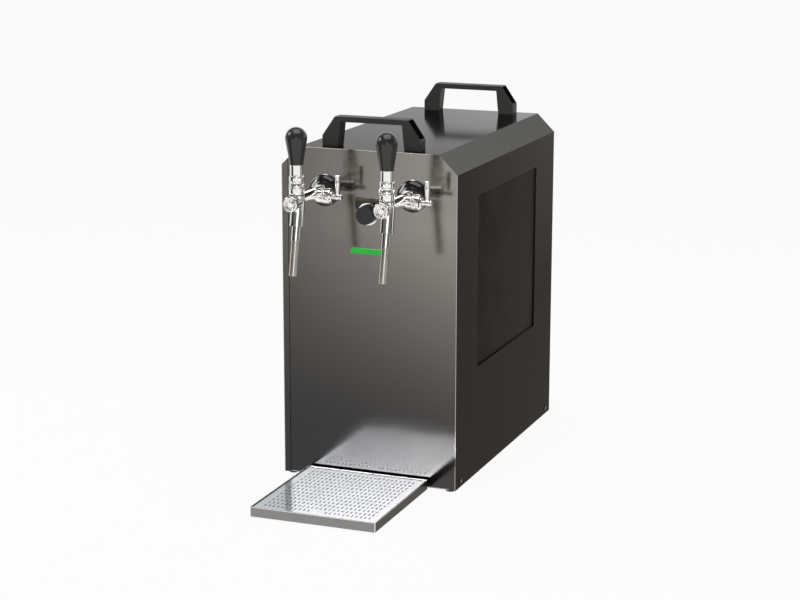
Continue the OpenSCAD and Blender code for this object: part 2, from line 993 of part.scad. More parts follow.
// The rocker rests with its upper end pressed, so it turns from one stop to the other
module switch_rocker() {
  half = rocker_h / 2;
  deep = rocker_pivot + rocker_proud;
  color([0.05, 0.35, 0.12])
    at_switch()
      translate([0, switch_flange_t - rocker_pivot, 0])
        rotate([-rocker_angle, 0, 0]) {
          rotate([90, 0, 90])
            translate([0, 0, -rocker_w / 2])
              linear_extrude(rocker_w)
                polygon([
                  [-rocker_pin_d, -half / 2], [rocker_pivot - rocker_proud, -half + rocker_proud],
                  [deep, -half + 2 * rocker_proud], [deep - rocker_proud, 0],
                  [deep, half - 2 * rocker_proud], [rocker_pivot - rocker_proud, half - rocker_proud],
                  [-rocker_pin_d, half / 2]
                ]);
          bar_right(-rocker_w / 2 - rocker_pin_l, rocker_w + 2 * rocker_pin_l, rocker_pin_d);
        }
}

module beer_inlets() {
  color("silver")
    rear_inlet_places()
      difference() {
        union() {
          translate([0, inlet_hex_t - cover_t, 0])
            rotate([90, 0, 0])
              cylinder(d = inlet_hex_d, h = inlet_hex_t, $fn = 6);
          bar_back(-inlet_tail_l, inlet_tail_l + inlet_out - inlet_nose_l, inlet_d);
          bar_back(0, inlet_out, inlet_nose_d);
          translate([0, -panel_back, 0])
            rotate([90, 0, 0])
              cylinder(d = inlet_hex_d, h = inlet_nut_t, $fn = 6);
        }
        bar_back(-inlet_tail_l - overrun, inlet_tail_l + inlet_out + 2 * overrun, inlet_bore_d);
      }
}

// Inside the cabinet

module shelf() {
  wide = 2 * shelf_half_w;
  deep = shelf_back - shelf_front;
  color("lightgray")
    difference() {
      translate([-shelf_half_w, front_y + shelf_front, base_top])
        cube([wide, deep, foot_h + shelf_height - base_top]);
      translate([-shelf_half_w + shelf_t, front_y + shelf_front - overrun, base_top - overrun])
        cube([
          wide - 2 * shelf_t, deep + 2 * overrun,
          foot_h + shelf_height - base_top - shelf_t + overrun
        ]);
      for (hole = [[hot_x, hot_depth], [liquid_x, liquid_depth]])
        translate([hole[0], front_y + hole[1], shelf_height])
          cylinder(d = pipe_d + 2 * shelf_hole_gap, h = foot_h + overrun, $fn = round_fn);
    }
}

module at_compressor() {
  translate([0, front_y + compressor_depth, base_top + mount_h])
    children();
}

module mount_places() {
  for (x = [-1, 1], y = [-1, 1])
    translate([x * (plate_foot_w / 2 - mount_inset), y * (plate_foot_d / 2 - mount_inset), 0])
      children();
}

module compressor() {
  dome_h = shell_h / 4;
  wall_h = shell_h - dome_h;
  dome_r = (pow(shell_d / 2, 2) + pow(dome_h, 2)) / (2 * dome_h);
  color([0.1, 0.1, 0.11])
    at_compressor() {
      difference() {
        translate([-plate_foot_w / 2, -plate_foot_d / 2, 0])
          cube([plate_foot_w, plate_foot_d, plate_foot_t]);
        mount_places()
          translate([0, 0, -overrun])
            cylinder(d = mount_waist_d + thread_gap, h = plate_foot_t + 2 * overrun, $fn = round_fn);
      }
      cylinder(d = shell_d, h = wall_h, $fn = 2 * round_fn);
      intersection() {
        translate([0, 0, shell_h - dome_r])
          sphere(r = dome_r, $fn = 2 * round_fn);
        cylinder(d = shell_d, h = shell_h, $fn = 2 * round_fn);
      }
      translate([0, 0, wall_h / 2])
        cylinder(d = shell_d + seam_d, h = seam_h, $fn = 2 * round_fn);
      translate([0, 0, shell_h * stub_share])
        bar_right(-stub_x, 2 * stub_x, pipe_d + 2 * stub_wall);
    }
}

module compressor_mounts() {
  color([0.08, 0.08, 0.08])
    at_compressor()
      mount_places() {
        translate([0, 0, -mount_h])
          cylinder(d = mount_d, h = mount_h, $fn = round_fn);
        cylinder(d = mount_waist_d, h = plate_foot_t + mount_cap_h, $fn = round_fn);
        translate([0, 0, plate_foot_t])
          cylinder(d = mount_cap_d, h = mount_cap_h, $fn = round_fn);
      }
}

module condenser() {
  fins = floor(cond_l / fin_pitch);
  color([0.7, 0.7, 0.72])
    translate([cond_x, front_y + cond_depth, foot_h + shelf_height])
      linear_extrude(cond_h)
        union() {
          translate([cond_t / 2 - cond_core_t / 2, 0])
            square([cond_core_t, cond_l]);
          for (i = [0 : fins])
            translate([0, i * (cond_l - fin_t) / fins])
              square([cond_t, fin_t]);
        }
}

module at_fan() {
  translate([
    cond_x, front_y + cond_depth + cond_l / 2, foot_h + shelf_height + cond_h / 2
  ])
    children();
}

module fan_shroud() {
  opening_d = fan_d + 2 * fan_gap;
  color([0.3, 0.3, 0.32])
    at_fan()
      difference() {
        union() {
          translate([-shroud_l, -cond_l / 2, -cond_h / 2])
            cube([shroud_l, cond_l, cond_h]);
          bar_right(-shroud_l - shroud_ring_l, shroud_ring_l + shroud_t, opening_d + 2 * shroud_t);
        }
        translate([-shroud_l + shroud_t, -cond_l / 2 + shroud_t, -cond_h / 2 + shroud_t])
          cube([shroud_l, cond_l - 2 * shroud_t, cond_h - 2 * shroud_t]);
        bar_right(-shroud_l - shroud_ring_l - overrun, shroud_ring_l + 2 * shroud_t + overrun, opening_d);
      }
}

module fan_motor() {
  ring_end = -shroud_l - shroud_ring_l;
  motor_start = ring_end - motor_gap - motor_l;
  arm_r = (fan_d + 2 * fan_gap + 2 * shroud_t) / 2 + seat_gap;
  arm_start = ring_end - motor_gap - motor_arm_t;
  color([0.25, 0.25, 0.27])
    at_fan()
      difference() {
        union() {
          bar_right(motor_start, motor_l, motor_d);
          for (turn = [45 : 90 : 315])
            rotate([turn, 0, 0]) {
              translate([arm_start, 0, -motor_arm_w / 2])
                cube([motor_arm_t, arm_r + motor_arm_t, motor_arm_w]);
              translate([arm_start, arm_r, -motor_arm_w / 2])
                cube([-shroud_l - arm_start, motor_arm_t, motor_arm_w]);
            }
        }
        bar_right(
          motor_start + motor_l - fan_shaft_l - overrun,
          fan_shaft_l + motor_gap + 2 * overrun,
          fan_shaft_d + 2 * running_gap
        );
      }
}

module fan_rotor() {
  ring_end = -shroud_l - shroud_ring_l;
  start = ring_end + motor_gap;
  color([0.15, 0.15, 0.16])
    at_fan() {
      bar_right(start, fan_l, hub_fan_d);
      bar_right(ring_end - motor_gap - fan_shaft_l, fan_shaft_l + 3 * motor_gap, fan_shaft_d);
      intersection() {
        difference() {
          bar_right(start, fan_l, fan_d);
          bar_right(start - overrun, fan_l + 2 * overrun, hub_fan_d - 2 * blade_t);
        }
        for (i = [0 : fan_blades - 1])
          rotate([i * 360 / fan_blades, 0, 0])
            translate([start + fan_l / 2, 0, 0])
              rotate([0, 0, blade_pitch])
                translate([-blade_t / 2, -fan_d / 5, 0])
                  cube([blade_t, fan_d * 2 / 5, fan_d]);
      }
    }
}

module block_insulation() {
  color([0.2, 0.2, 0.22])
    difference() {
      translate([-block_w / 2, front_y + block_depth, base_top])
        cube([block_w, block_d, block_h]);
      translate([-block_w / 2 + foam_t, front_y + block_depth + foam_t, base_top + foam_t])
        cube([block_w - 2 * foam_t, block_d - 2 * foam_t, block_h - 2 * foam_t]);
      for (side = [-1, 1]) {
        translate([side * tap_spacing / 2, front_y + riser_depth, metal_top - overrun])
          cylinder(d = tube_d + 2 * seat_gap, h = foam_t + 2 * overrun, $fn = round_fn);
        translate([side * inlet_spacing / 2, front_y + metal_back - overrun, foot_h + inlet_height])
          bar_back(0, foam_t + 2 * overrun, tube_d + 2 * seat_gap);
      }
      for (hole = [[liquid_in_x, liquid_low], [-suction_x, stub_z]])
        translate([hole[0], front_y + metal_back - overrun, hole[1]])
          bar_back(0, foam_t + 2 * overrun, pipe_d + 2 * seat_gap);
      translate([sensor_x, front_y + sensor_depth, metal_top - overrun])
        cylinder(d = sensor_d + 2 * seat_gap, h = foam_t + 2 * overrun, $fn = round_fn);
    }
}

module cooling_block() {
  color("silver")
    translate([-block_w / 2 + foam_t, front_y + block_depth + foam_t, base_top + foam_t])
      cube([block_w - 2 * foam_t, block_d - 2 * foam_t, block_h - 2 * foam_t]);
}

// Risers from the block to the taps and supply tubes from the inlets to the block
module beer_tubes() {
  wall = 1;
  color("lightsteelblue")
    for (side = [-1, 1]) {
      tube_route([
        [side * tap_spacing / 2, front_y + riser_depth, metal_top],
        [side * tap_spacing / 2, front_y + riser_depth, tap_z],
        [side * tap_spacing / 2, front_y + shank_tail - nut_t, tap_z]
      ], tube_d, wall, beer_bend);
      tube_route([
        [side * inlet_spacing / 2, front_y + metal_back, foot_h + inlet_height],
        [side * inlet_spacing / 2, rear_y - inlet_pipe_in, foot_h + inlet_height]
      ], tube_d, wall, beer_bend);
    }
}

// Hot gas up to the condenser, liquid through the dryer to the block, suction back
module refrigerant_pipes() {
  cond_back = front_y + cond_depth + cond_l;
  cond_low = foot_h + shelf_height + pipe_edge;
  cond_high = foot_h + shelf_height + cond_h - pipe_edge;
  compressor_y = front_y + compressor_depth;
  color([0.72, 0.45, 0.2]) {
    tube_route([
      [stub_x, compressor_y, stub_z], [hot_x, compressor_y, stub_z],
      [hot_x, front_y + hot_depth, stub_z], [hot_x, front_y + hot_depth, cond_high],
      [hot_x, cond_back, cond_high]
    ], pipe_d, pipe_wall, pipe_bend);
    tube_route([
      [liquid_x, cond_back, cond_low], [liquid_x, front_y + liquid_depth, cond_low],
      [liquid_x, front_y + liquid_depth, liquid_low], [liquid_x, front_y + liquid_turn, liquid_low],
      [liquid_in_x, front_y + liquid_turn, liquid_low], [liquid_in_x, front_y + metal_back, liquid_low]
    ], pipe_d, pipe_wall, pipe_bend);
    translate([liquid_x, front_y + liquid_depth, dryer_top - dryer_l])
      linear_extrude(dryer_l)
        tube_ring(dryer_d, (dryer_d - pipe_d) / 2);
    tube_route([
      [-suction_x, front_y + metal_back, stub_z], [-suction_x, compressor_y, stub_z],
      [-stub_x, compressor_y, stub_z]
    ], pipe_d, pipe_wall, pipe_bend);
  }
}

// Taps

module tap_rosettes() {
  r = rosette_d / 2 - rosette_step / 2;
  dome = rosette_h - rosette_rim;
  dome_r = (pow(r, 2) + pow(dome, 2)) / (2 * dome);
  color("gainsboro")
    for (side = [-1, 1])
      at_tap(side)
        difference() {
          union() {
            bar_front(-panel_face, rosette_rim, rosette_d);
            intersection() {
              bar_front(-panel_face, rosette_h, rosette_d - 2 * rosette_step);
              translate([0, dome_r - rosette_front, 0])
                sphere(r = dome_r, $fn = 2 * round_fn);
            }
          }
          bar_front(-panel_face - overrun, rosette_h + 2 * overrun, shank_d + thread_gap);
        }
}

module shank_nuts() {
  color("silver")
    for (side = [-1, 1])
      at_tap(side)
        difference() {
          translate([0, panel_back + nut_t, 0])
            rotate([90, 0, 0])
              cylinder(d = nut_hex_d, h = nut_t, $fn = 6);
          bar_back(panel_back - overrun, nut_t + 2 * overrun, shank_d + thread_gap);
        }
}

module tap_shank(side) {
  color("gainsboro")
    at_tap(side)
      difference() {
        union() {
          bar_front(-shank_tail, shank_tail + barrel_start + spigot_l, shank_d);
          translate([0, -rosette_front, 0])
            rotate([90, 0, 0])
              cylinder(d = shank_hex_d, h = shank_hex_t, $fn = 6);
        }
        bar_front(-shank_tail - overrun, shank_tail + barrel_start + spigot_l + 2 * overrun, shank_bore_d);
      }
}
module left_tap_shank() { tap_shank(-1); }
module right_tap_shank() { tap_shank(1); }

module tap_body(side) {
  color("gainsboro")
    at_tap(side)
      difference() {
        union() {
          bar_front(barrel_start, barrel_end - barrel_start, barrel_d);
          translate([0, -handle_reach, neck_low])
            cylinder(d = neck_d, h = neck_top - neck_low, $fn = round_fn);
          translate([0, -comp_reach, 0]) {
            bar_right(0, boss_l, boss_neck_d);
            bar_right(barrel_d / 2 + neck_rise, boss_l - barrel_d / 2 - neck_rise, boss_d);
          }
          on_spout() {
            translate([0, 0, -socket_overlap])
              cylinder(d = socket_d, h = socket_l_down + socket_overlap, $fn = round_fn);
            translate([0, 0, socket_l_down - socket_lip_h])
              cylinder(d = socket_lip_d, h = socket_lip_h, $fn = round_fn);
            cylinder(d = spout_d, h = spout_l_down, $fn = round_fn);
          }
        }
        bar_front(barrel_start - overrun, spigot_l + overrun, shank_d + thread_gap);
        bar_front(barrel_start, wall_reach - barrel_start, chamber_d);
        bar_front(barrel_start, barrel_end - barrel_start, spout_bore_d);
        bar_front(valve_start, barrel_end - valve_start + overrun, piston_bore_d);
        bar_front(barrel_end - cap_spigot_l, cap_spigot_l + overrun, cap_spigot_d + thread_gap);
        on_spout() {
          cylinder(d = spout_bore_d, h = spout_l_down + overrun, $fn = round_fn);
          translate([0, 0, spout_l_down - nozzle_spigot_l])
            cylinder(
              d = nozzle_bore_d + 2 * nozzle_spigot_wall + thread_gap,
              h = nozzle_spigot_l + overrun,
              $fn = round_fn
            );
        }
        rod_slot();
        translate([0, -handle_reach, neck_top - bonnet_thread_l + thread_gap])
          cylinder(d = bonnet_thread_d + thread_gap, h = bonnet_thread_l + overrun, $fn = round_fn);
        translate([0, -comp_reach, 0]) {
          bar_right(0, comp_spigot_start, crank_disc_d + 2 * running_gap);
          bar_right(barrel_d / 2 + overrun, boss_l, comp_thread_d + thread_gap);
        }
      }
}
module left_tap_body() { tap_body(-1); }
module right_tap_body() { tap_body(1); }

// The slot that the lever's rod swings in, seen from the barrel's axis upwards
module rod_slot() {
  translate([-groove_w / 2, -handle_reach - slot_forward, 0])
    cube([groove_w, slot_forward + slot_back, neck_top + overrun]);
}

module barrel_caps() {
  color("gainsboro")
    for (side = [-1, 1])
      at_tap(side)
        difference() {
          union() {
            bar_front(barrel_end, cap_l, cap_d);
            bar_front(barrel_end - cap_spigot_l, cap_spigot_l + overrun, cap_spigot_d);
          }
          bar_front(barrel_end - cap_spigot_l - overrun, cap_spigot_l + cap_bore_l, piston_bore_d);
          difference() {
            bar_front(barrel_end + cap_l - cap_groove_l, cap_groove_l + overrun, cap_d - 2 * cap_rim);
            translate([0, -barrel_end - cap_l + cap_groove_l, 0])
              sphere(d = cap_d - 2 * cap_rim - 2 * cap_groove, $fn = round_fn);
          }
        }
}

module compensator_bonnets() {
  color("gainsboro")
    for (side = [-1, 1])
      at_tap(side)
        translate([0, -comp_reach, 0])
          difference() {
            union() {
              bar_right(boss_l, comp_bonnet_l - comp_slope, comp_d);
              translate([boss_l + comp_bonnet_l - comp_slope, 0, 0])
                rotate([0, 90, 0])
                  cylinder(d1 = comp_d, d2 = comp_d - 3 * comp_slope, h = comp_slope, $fn = round_fn);
              bar_right(comp_spigot_start, boss_l - comp_spigot_start + overrun, comp_thread_d);
            }
            bar_right(0, boss_l + comp_bonnet_l + overrun, spindle_d + 2 * running_gap);
          }
}

module compensator_lever(side) {
  bonnet_end = boss_l + comp_bonnet_l + seat_gap;
  color("gainsboro")
    at_tap(side)
      translate([0, -comp_reach, 0]) {
        bar_right(spindle_start, bonnet_end - spindle_start + overrun, spindle_d);
        bar_right(spindle_start, comp_spigot_start - seat_gap - spindle_start, crank_disc_d);
        bar_right(bonnet_end, hub_l, hub_d);
        translate([0, 0, -crank_r])
          bar_right(spindle_start - crank_l, crank_l + overrun, crank_d);
        translate([lever_x, 0, 0])
          cylinder(
            d1 = lever_low_d, d2 = lever_high_d, h = comp_lever_l - lever_cap_h, $fn = round_fn
          );
        translate([lever_x, 0, comp_lever_l - lever_cap_h])
          cylinder(d = lever_high_d + running_gap, h = lever_cap_h, $fn = round_fn);
      }
}
module left_compensator_lever() { compensator_lever(-1); }
module right_compensator_lever() { compensator_lever(1); }

module flow_cone(side) {
  color([0.92, 0.92, 0.9])
    at_tap(side)
      difference() {
        translate([0, -cone_start, 0])
          rotate([90, 0, 0])
            cylinder(d1 = cone_small_d, d2 = cone_big_d, h = cone_l, $fn = round_fn);
        translate([-crank_d / 4, -comp_reach - crank_d / 2 - 2 * seat_gap, -cone_big_d])
          cube([cone_big_d, crank_d + 4 * seat_gap, 2 * cone_big_d]);
      }
}
module left_flow_cone() { flow_cone(-1); }
module right_flow_cone() { flow_cone(1); }

module tap_gaskets() {
  color([0.03, 0.03, 0.03])
    for (side = [-1, 1])
      at_tap(side)
        translate([0, -handle_reach, neck_top])
          difference() {
            cylinder(d = neck_d - 2 * sheet_gap, h = gasket_t, $fn = round_fn);
            translate([0, 0, -overrun])
              cylinder(d = gasket_in_d, h = gasket_t + 2 * overrun, $fn = round_fn);
          }
}

module tap_bonnet(side) {
  color("gainsboro")
    at_tap(side)
      difference() {
        translate([0, -handle_reach, 0])
          difference() {
            union() {
              translate([0, 0, bonnet_low])
                cylinder(d = bonnet_d, h = bonnet_high - bonnet_low, $fn = round_fn);
              translate([0, 0, neck_top - bonnet_thread_l + seat_gap + thread_gap])
                cylinder(d = bonnet_thread_d, h = bonnet_thread_l + gasket_t, $fn = round_fn);
              for (turn = [-1, 1])
                translate([
                  turn * (bonnet_d / 2 - ear_t / 2) - ear_t / 2, -ear_w / 2, bonnet_low
                ])
                  cube([ear_t, ear_w, pivot_up + ear_up - bonnet_low]);
            }
            translate([0, 0, neck_top - bonnet_thread_l])
              cylinder(d = bonnet_bore_d, h = pivot_up, $fn = round_fn);
            translate([0, 0, pivot_up])
              sphere(d = ball_d + 2 * seat_gap, $fn = round_fn);
            translate([0, 0, pivot_up])
              bar_right(-bonnet_d, 2 * bonnet_d, pin_d + running_gap);
          }
        rod_slot();
      }
}
module left_tap_bonnet() { tap_bonnet(-1); }
module right_tap_bonnet() { tap_bonnet(1); }

module handle_pins() {
  color("silver")
    for (side = [-1, 1])
      at_tap(side)
        translate([0, -handle_reach, pivot_up])
          bar_right(-bonnet_d / 2, bonnet_d, pin_d);
}

module tap_lever(side) {
  color("gainsboro")
    at_tap(side)
      translate([0, -handle_reach, 0])
        difference() {
          union() {
            translate([0, 0, pivot_up])
              sphere(d = ball_d, $fn = round_fn);
            translate([0, 0, pivot_up - rod_l])
              sphere(d = rod_d, $fn = round_fn);
            translate([0, 0, pivot_up - rod_l])
              cylinder(d = rod_d, h = rod_l, $fn = round_fn);
            translate([0, 0, collar_low])
              cylinder(d = collar_d, h = collar_h, $fn = round_fn);
            translate([0, 0, collar_low + collar_h])
              cylinder(d = ferrule_d, h = ferrule_h, $fn = round_fn);
            translate([0, 0, grip_low])
              cylinder(d = stud_d, h = stud_l, $fn = round_fn);
          }
          translate([0, 0, pivot_up])
            bar_right(-bonnet_d, 2 * bonnet_d, pin_d + 2 * running_gap);
        }
}
module left_tap_lever() { tap_lever(-1); }
module right_tap_lever() { tap_lever(1); }

module tap_handle(side) {
  ball_r = grip_d / 2;
  cone_h = grip_l - ball_r;
  color([0.05, 0.05, 0.05])
    at_tap(side)
      translate([0, -handle_reach, grip_low])
        difference() {
          union() {
            cylinder(d1 = grip_foot_d, d2 = grip_d, h = cone_h, $fn = round_fn);
            translate([0, 0, cone_h])
              sphere(d = grip_d, $fn = round_fn);
          }
          translate([0, 0, -grip_d])
            cylinder(d = 2 * grip_d, h = grip_d, $fn = round_fn);
          translate([0, 0, -overrun])
            cylinder(d = stud_d + thread_gap, h = stud_l + 2 * overrun, $fn = round_fn);
        }
}
module left_tap_handle() { tap_handle(-1); }
module right_tap_handle() { tap_handle(1); }

module tap_piston(side) {
  groove_low = pivot_up - rod_l - rod_d / 2 - 2 * piston_gap;
  port_reach = spout_start + piston_bore_d / 2 * tan(spout_lean) + piston_travel;
  color([0.9, 0.9, 0.88])
    at_tap(side)
      difference() {
        bar_front(piston_front - piston_l, piston_l, piston_bore_d - 2 * piston_gap);
        translate([-piston_bore_d, -handle_reach - groove_w / 2, groove_low])
          cube([2 * piston_bore_d, groove_w, piston_bore_d]);
        translate([0, 0, -piston_flow_drop])
          bar_front(
            piston_front - piston_l - overrun,
            port_reach + piston_flow_d / 2 - piston_front + piston_l + overrun,
            piston_flow_d
          );
        translate([0, -port_reach, -piston_bore_d])
          cylinder(d = piston_flow_d, h = piston_bore_d - piston_flow_drop, $fn = round_fn);
      }
}
module left_tap_piston() { tap_piston(-1); }
module right_tap_piston() { tap_piston(1); }

module nozzle(side) {
  color([0.6, 0.58, 0.55])
    at_tap(side)
      on_spout()
        translate([0, 0, spout_l_down])
          difference() {
            union() {
              cylinder(d = nozzle_d, h = nozzle_l, $fn = round_fn);
              translate([0, 0, -nozzle_spigot_l + seat_gap])
                cylinder(
                  d = nozzle_bore_d + 2 * nozzle_spigot_wall,
                  h = nozzle_spigot_l,
                  $fn = round_fn
                );
            }
            translate([0, 0, -nozzle_spigot_l - overrun])
              cylinder(d = nozzle_bore_d, h = nozzle_spigot_l + nozzle_l + 2 * overrun, $fn = round_fn);
          }
}
module left_nozzle() { nozzle(-1); }
module right_nozzle() { nozzle(1); }

// Drip tray

module at_tray() {
  translate([0, front_y - tray_gap - tray_l, tray_z])
    children();
}

module drip_tray() {
  color([0.5, 0.49, 0.48])
    at_tray()
      difference() {
        translate([-tray_w / 2, 0, 0])
          cube([tray_w, tray_l, tray_h]);
        translate([-tray_w / 2 + tray_t, tray_t, tray_t])
          cube([tray_w - 2 * tray_t, tray_l - 2 * tray_t, tray_h]);
      }
}

module drip_grid() {
  wide = tray_w - 2 * tray_t - 2 * grid_side_gap;
  long = tray_l - 2 * tray_t - 2 * grid_side_gap;
  across = floor((wide - 2 * grid_margin + slot_pitch_x - slot_w) / slot_pitch_x);
  rows = floor((long - 2 * grid_margin + slot_pitch_y - slot_l) / slot_pitch_y);
  first_x = -((across - 1) * slot_pitch_x + slot_w) / 2;
  first_y = (long - (rows - 1) * slot_pitch_y - slot_l) / 2;
  plate_z = tray_h - grid_drop - grid_t;
  skirt_low = tray_t + seat_gap;
  color([0.85, 0.86, 0.87])
    at_tray()
      translate([0, tray_t + grid_side_gap, 0]) {
        difference() {
          translate([-wide / 2, 0, skirt_low])
            cube([wide, long, plate_z - skirt_low]);
          translate([-wide / 2 + grid_skirt_t, grid_skirt_t, skirt_low - overrun])
            cube([wide - 2 * grid_skirt_t, long - 2 * grid_skirt_t, plate_z]);
        }
        translate([0, 0, plate_z])
          linear_extrude(grid_t)
            difference() {
              translate([-wide / 2, 0])
                square([wide, long]);
              for (i = [0 : across - 1], j = [0 : rows - 1])
                if (!(j == 0 && abs(first_x + i * slot_pitch_x + slot_w / 2) < finger_w))
                  translate([first_x + i * slot_pitch_x, first_y + j * slot_pitch_y])
                    square([slot_w, slot_l]);
              translate([0, finger_inset])
                rounded_square(finger_w, finger_h, finger_h / 2 - sheet_gap);
            }
      }
}

module tray_pads() {
  color([0.06, 0.06, 0.06])
    for (side = [-1, 1], y = [pad_inset, tray_l - pad_inset])
      translate([side * (tray_w / 2 - pad_inset), front_y - tray_gap - tray_l + y, 0])
        cylinder(d = pad_d, h = foot_h, $fn = round_fn);
}

module tray_magnets() {
  color([0.15, 0.15, 0.15])
    for (side = [-1, 1])
      translate([side * magnet_spacing / 2, front_y, tray_z + magnet_height])
        bar_front(-panel_face + seat_gap, tray_gap + panel_face - seat_gap, magnet_d);
}

base_pan();
wrap_cover();
front_panel();
rear_panel();
left_vent_mesh();
right_vent_mesh();
front_carry_handle();
rear_carry_handle();
carry_handle_screws();
case_screws();
rubber_feet();
accent_strip();
dial_plate();
knob_ring();
thermostat_knob();
thermostat_shaft();
thermostat_body();
power_inlet();
switch_housing();
switch_rocker();
beer_inlets();
shelf();
compressor();
compressor_mounts();
condenser();
fan_shroud();
fan_motor();
fan_rotor();
cooling_block();
block_insulation();
refrigerant_pipes();
beer_tubes();
tap_rosettes();
shank_nuts();
barrel_caps();
tap_gaskets();
handle_pins();
compensator_bonnets();
left_tap_shank();
left_tap_body();
left_tap_bonnet();
left_tap_lever();
left_tap_handle();
left_tap_piston();
left_flow_cone();
left_compensator_lever();
left_nozzle();
right_tap_shank();
right_tap_body();
right_tap_bonnet();
right_tap_lever();
right_tap_handle();
right_tap_piston();
right_flow_cone();
right_compensator_lever();
right_nozzle();
drip_tray();
drip_grid();
tray_pads();
tray_magnets();
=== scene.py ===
import json
import math

import bmesh
import bpy
from mathutils import Matrix, Vector

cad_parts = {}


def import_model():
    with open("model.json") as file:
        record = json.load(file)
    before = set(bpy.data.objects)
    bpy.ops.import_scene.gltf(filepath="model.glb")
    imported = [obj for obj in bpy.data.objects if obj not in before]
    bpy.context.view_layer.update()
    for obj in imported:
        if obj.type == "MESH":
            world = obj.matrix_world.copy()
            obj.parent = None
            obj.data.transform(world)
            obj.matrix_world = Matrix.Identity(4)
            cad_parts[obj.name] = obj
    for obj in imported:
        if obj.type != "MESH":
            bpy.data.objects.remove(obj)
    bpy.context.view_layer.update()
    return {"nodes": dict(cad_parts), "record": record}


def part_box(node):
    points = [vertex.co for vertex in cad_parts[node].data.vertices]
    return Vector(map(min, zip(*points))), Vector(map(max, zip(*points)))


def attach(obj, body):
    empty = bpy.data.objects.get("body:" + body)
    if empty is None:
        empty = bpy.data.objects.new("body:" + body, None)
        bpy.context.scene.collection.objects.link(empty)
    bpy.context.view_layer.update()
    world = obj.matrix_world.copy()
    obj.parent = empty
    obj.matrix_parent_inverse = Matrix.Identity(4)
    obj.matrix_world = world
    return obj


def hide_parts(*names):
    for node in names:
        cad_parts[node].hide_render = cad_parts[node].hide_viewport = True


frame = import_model()

# Units and places read from the frame

MM = 0.001
HALF_FRONT = 0.140
SIDES = (("left", -1), ("right", 1))
record = frame["record"]
cover_low, cover_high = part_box("wrap_cover")
lever_low, lever_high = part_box("right_tap_lever")
shank_low, shank_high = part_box("right_tap_shank")
front_y = cover_low.y
top_z = cover_high.z
tap_x = (lever_low.x + lever_high.x) / 2
tap_y = (lever_low.y + lever_high.y) / 2
tap_z = (shank_low.z + shank_high.z) / 2
handle_reach = (front_y - tap_y) / MM


# Materials

class Look:
    """A material with short calls for the nodes that it is made of."""

    def __init__(self, name, color, roughness, metallic=0.0, **sockets):
        self.material = bpy.data.materials.new(name)
        self.material.use_nodes = True
        self.tree = self.material.node_tree
        self.shader = self.tree.nodes["Principled BSDF"]
        self.put("Base Color", color)
        self.put("Roughness", roughness)
        self.put("Metallic", metallic)
        for socket, value in sockets.items():
            self.put(socket.replace("_", " "), value)

    def put(self, socket, value):
        """Links a node's output to one of the shader's sockets, or sets the socket's value."""
        self.feed(self.shader.inputs[socket], value)

    def feed(self, target, value):
        if isinstance(value, bpy.types.NodeSocket):
            self.tree.links.new(value, target)
        elif isinstance(value, tuple) and len(value) == 3 and target.type == "RGBA":
            target.default_value = (*value, 1.0)
        else:
            target.default_value = value

    def node(self, kind, inputs, **settings):
        made = self.tree.nodes.new(kind)
        for name, value in settings.items():
            setattr(made, name, value)
        for key, value in inputs.items():
            self.feed(made.inputs[key], value)
        return made

    def place(self, scale=(1.0, 1.0, 1.0)):
        """The point on the piece in its own space, in metres, stretched by a scale."""
        spot = self.node("ShaderNodeTexCoord", {}).outputs["Object"]
        return self.node("ShaderNodeMapping", {"Vector": spot, "Scale": scale}).outputs["Vector"]

    def axis(self, name):
        spot = self.node("ShaderNodeTexCoord", {}).outputs["Object"]
        return self.node("ShaderNodeSeparateXYZ", {"Vector": spot}).outputs[name]

    def normal(self, name):
        facing = self.node("ShaderNodeTexCoord", {}).outputs["Normal"]
        return self.node("ShaderNodeSeparateXYZ", {"Vector": facing}).outputs[name]

    def noise(self, scale, detail=2.0, stretch=(1.0, 1.0, 1.0)):
        inputs = {"Vector": self.place(stretch), "Scale": scale, "Detail": detail}
        return self.node("ShaderNodeTexNoise", inputs).outputs["Fac"]

    def remap(self, value, low, high, to_low=0.0, to_high=1.0):
        inputs = {"Value": value, "From Min": low, "From Max": high, "To Min": to_low, "To Max": to_high}
        return self.node("ShaderNodeMapRange", inputs).outputs["Result"]

    def maths(self, operation, first, second=0.0):
        return self.node("ShaderNodeMath", {0: first, 1: second}, operation=operation).outputs["Value"]

    def blend(self, share, first, second):
        """Mixes two colours. The node's sockets 6 and 7 are its colour pair, and output 2 its colour."""
        made = self.node("ShaderNodeMix", {}, data_type="RGBA")
        self.feed(made.inputs["Factor"], share)
        self.feed(made.inputs[6], first)
        self.feed(made.inputs[7], second)
        return made.outputs[2]

    def bump(self, height, distance, strength=1.0, after=None):
        inputs = {"Height": height, "Distance": distance, "Strength": strength}
        if after:
            inputs["Normal"] = after
        return self.node("ShaderNodeBump", inputs).outputs["Normal"]


def shade(color, factor):
    return tuple(channel * factor for channel in color)


# How noise is stretched so that it makes lines along an axis
BRUSHED = {
    "X": (0.02, 1.0, 1.0),
    "Y": (1.0, 0.02, 1.0),
    "Z": (1.0, 1.0, 0.02),
    None: (1.0, 1.0, 1.0),
}


def metal(name, color, roughness, brush=None, spread=0.12, grain=0.004, **sockets):
    """Worked metal: fine lines along one axis if brush says which, and faint cloudy smudges."""
    look = Look(name, color, roughness, 1.0, **sockets)
    lines = look.noise(2600.0, 3.0, BRUSHED[brush])
    clouds = look.noise(14.0, 3.0)
    tone = look.maths("ADD", look.remap(lines, 0.3, 0.7, -0.5, 0.5), look.remap(clouds, 0.3, 0.7, -0.5, 0.5))
    darker, paler = shade(color, 1 - spread), shade(color, 1 + spread)
    look.put("Base Color", look.blend(look.remap(tone, -1.0, 1.0), darker, paler))
    look.put("Roughness", look.remap(clouds, 0.35, 0.65, roughness * 0.85, roughness * 1.2))
    if brush:
        look.put("Normal", look.bump(lines, grain * MM, 0.5))
    return look


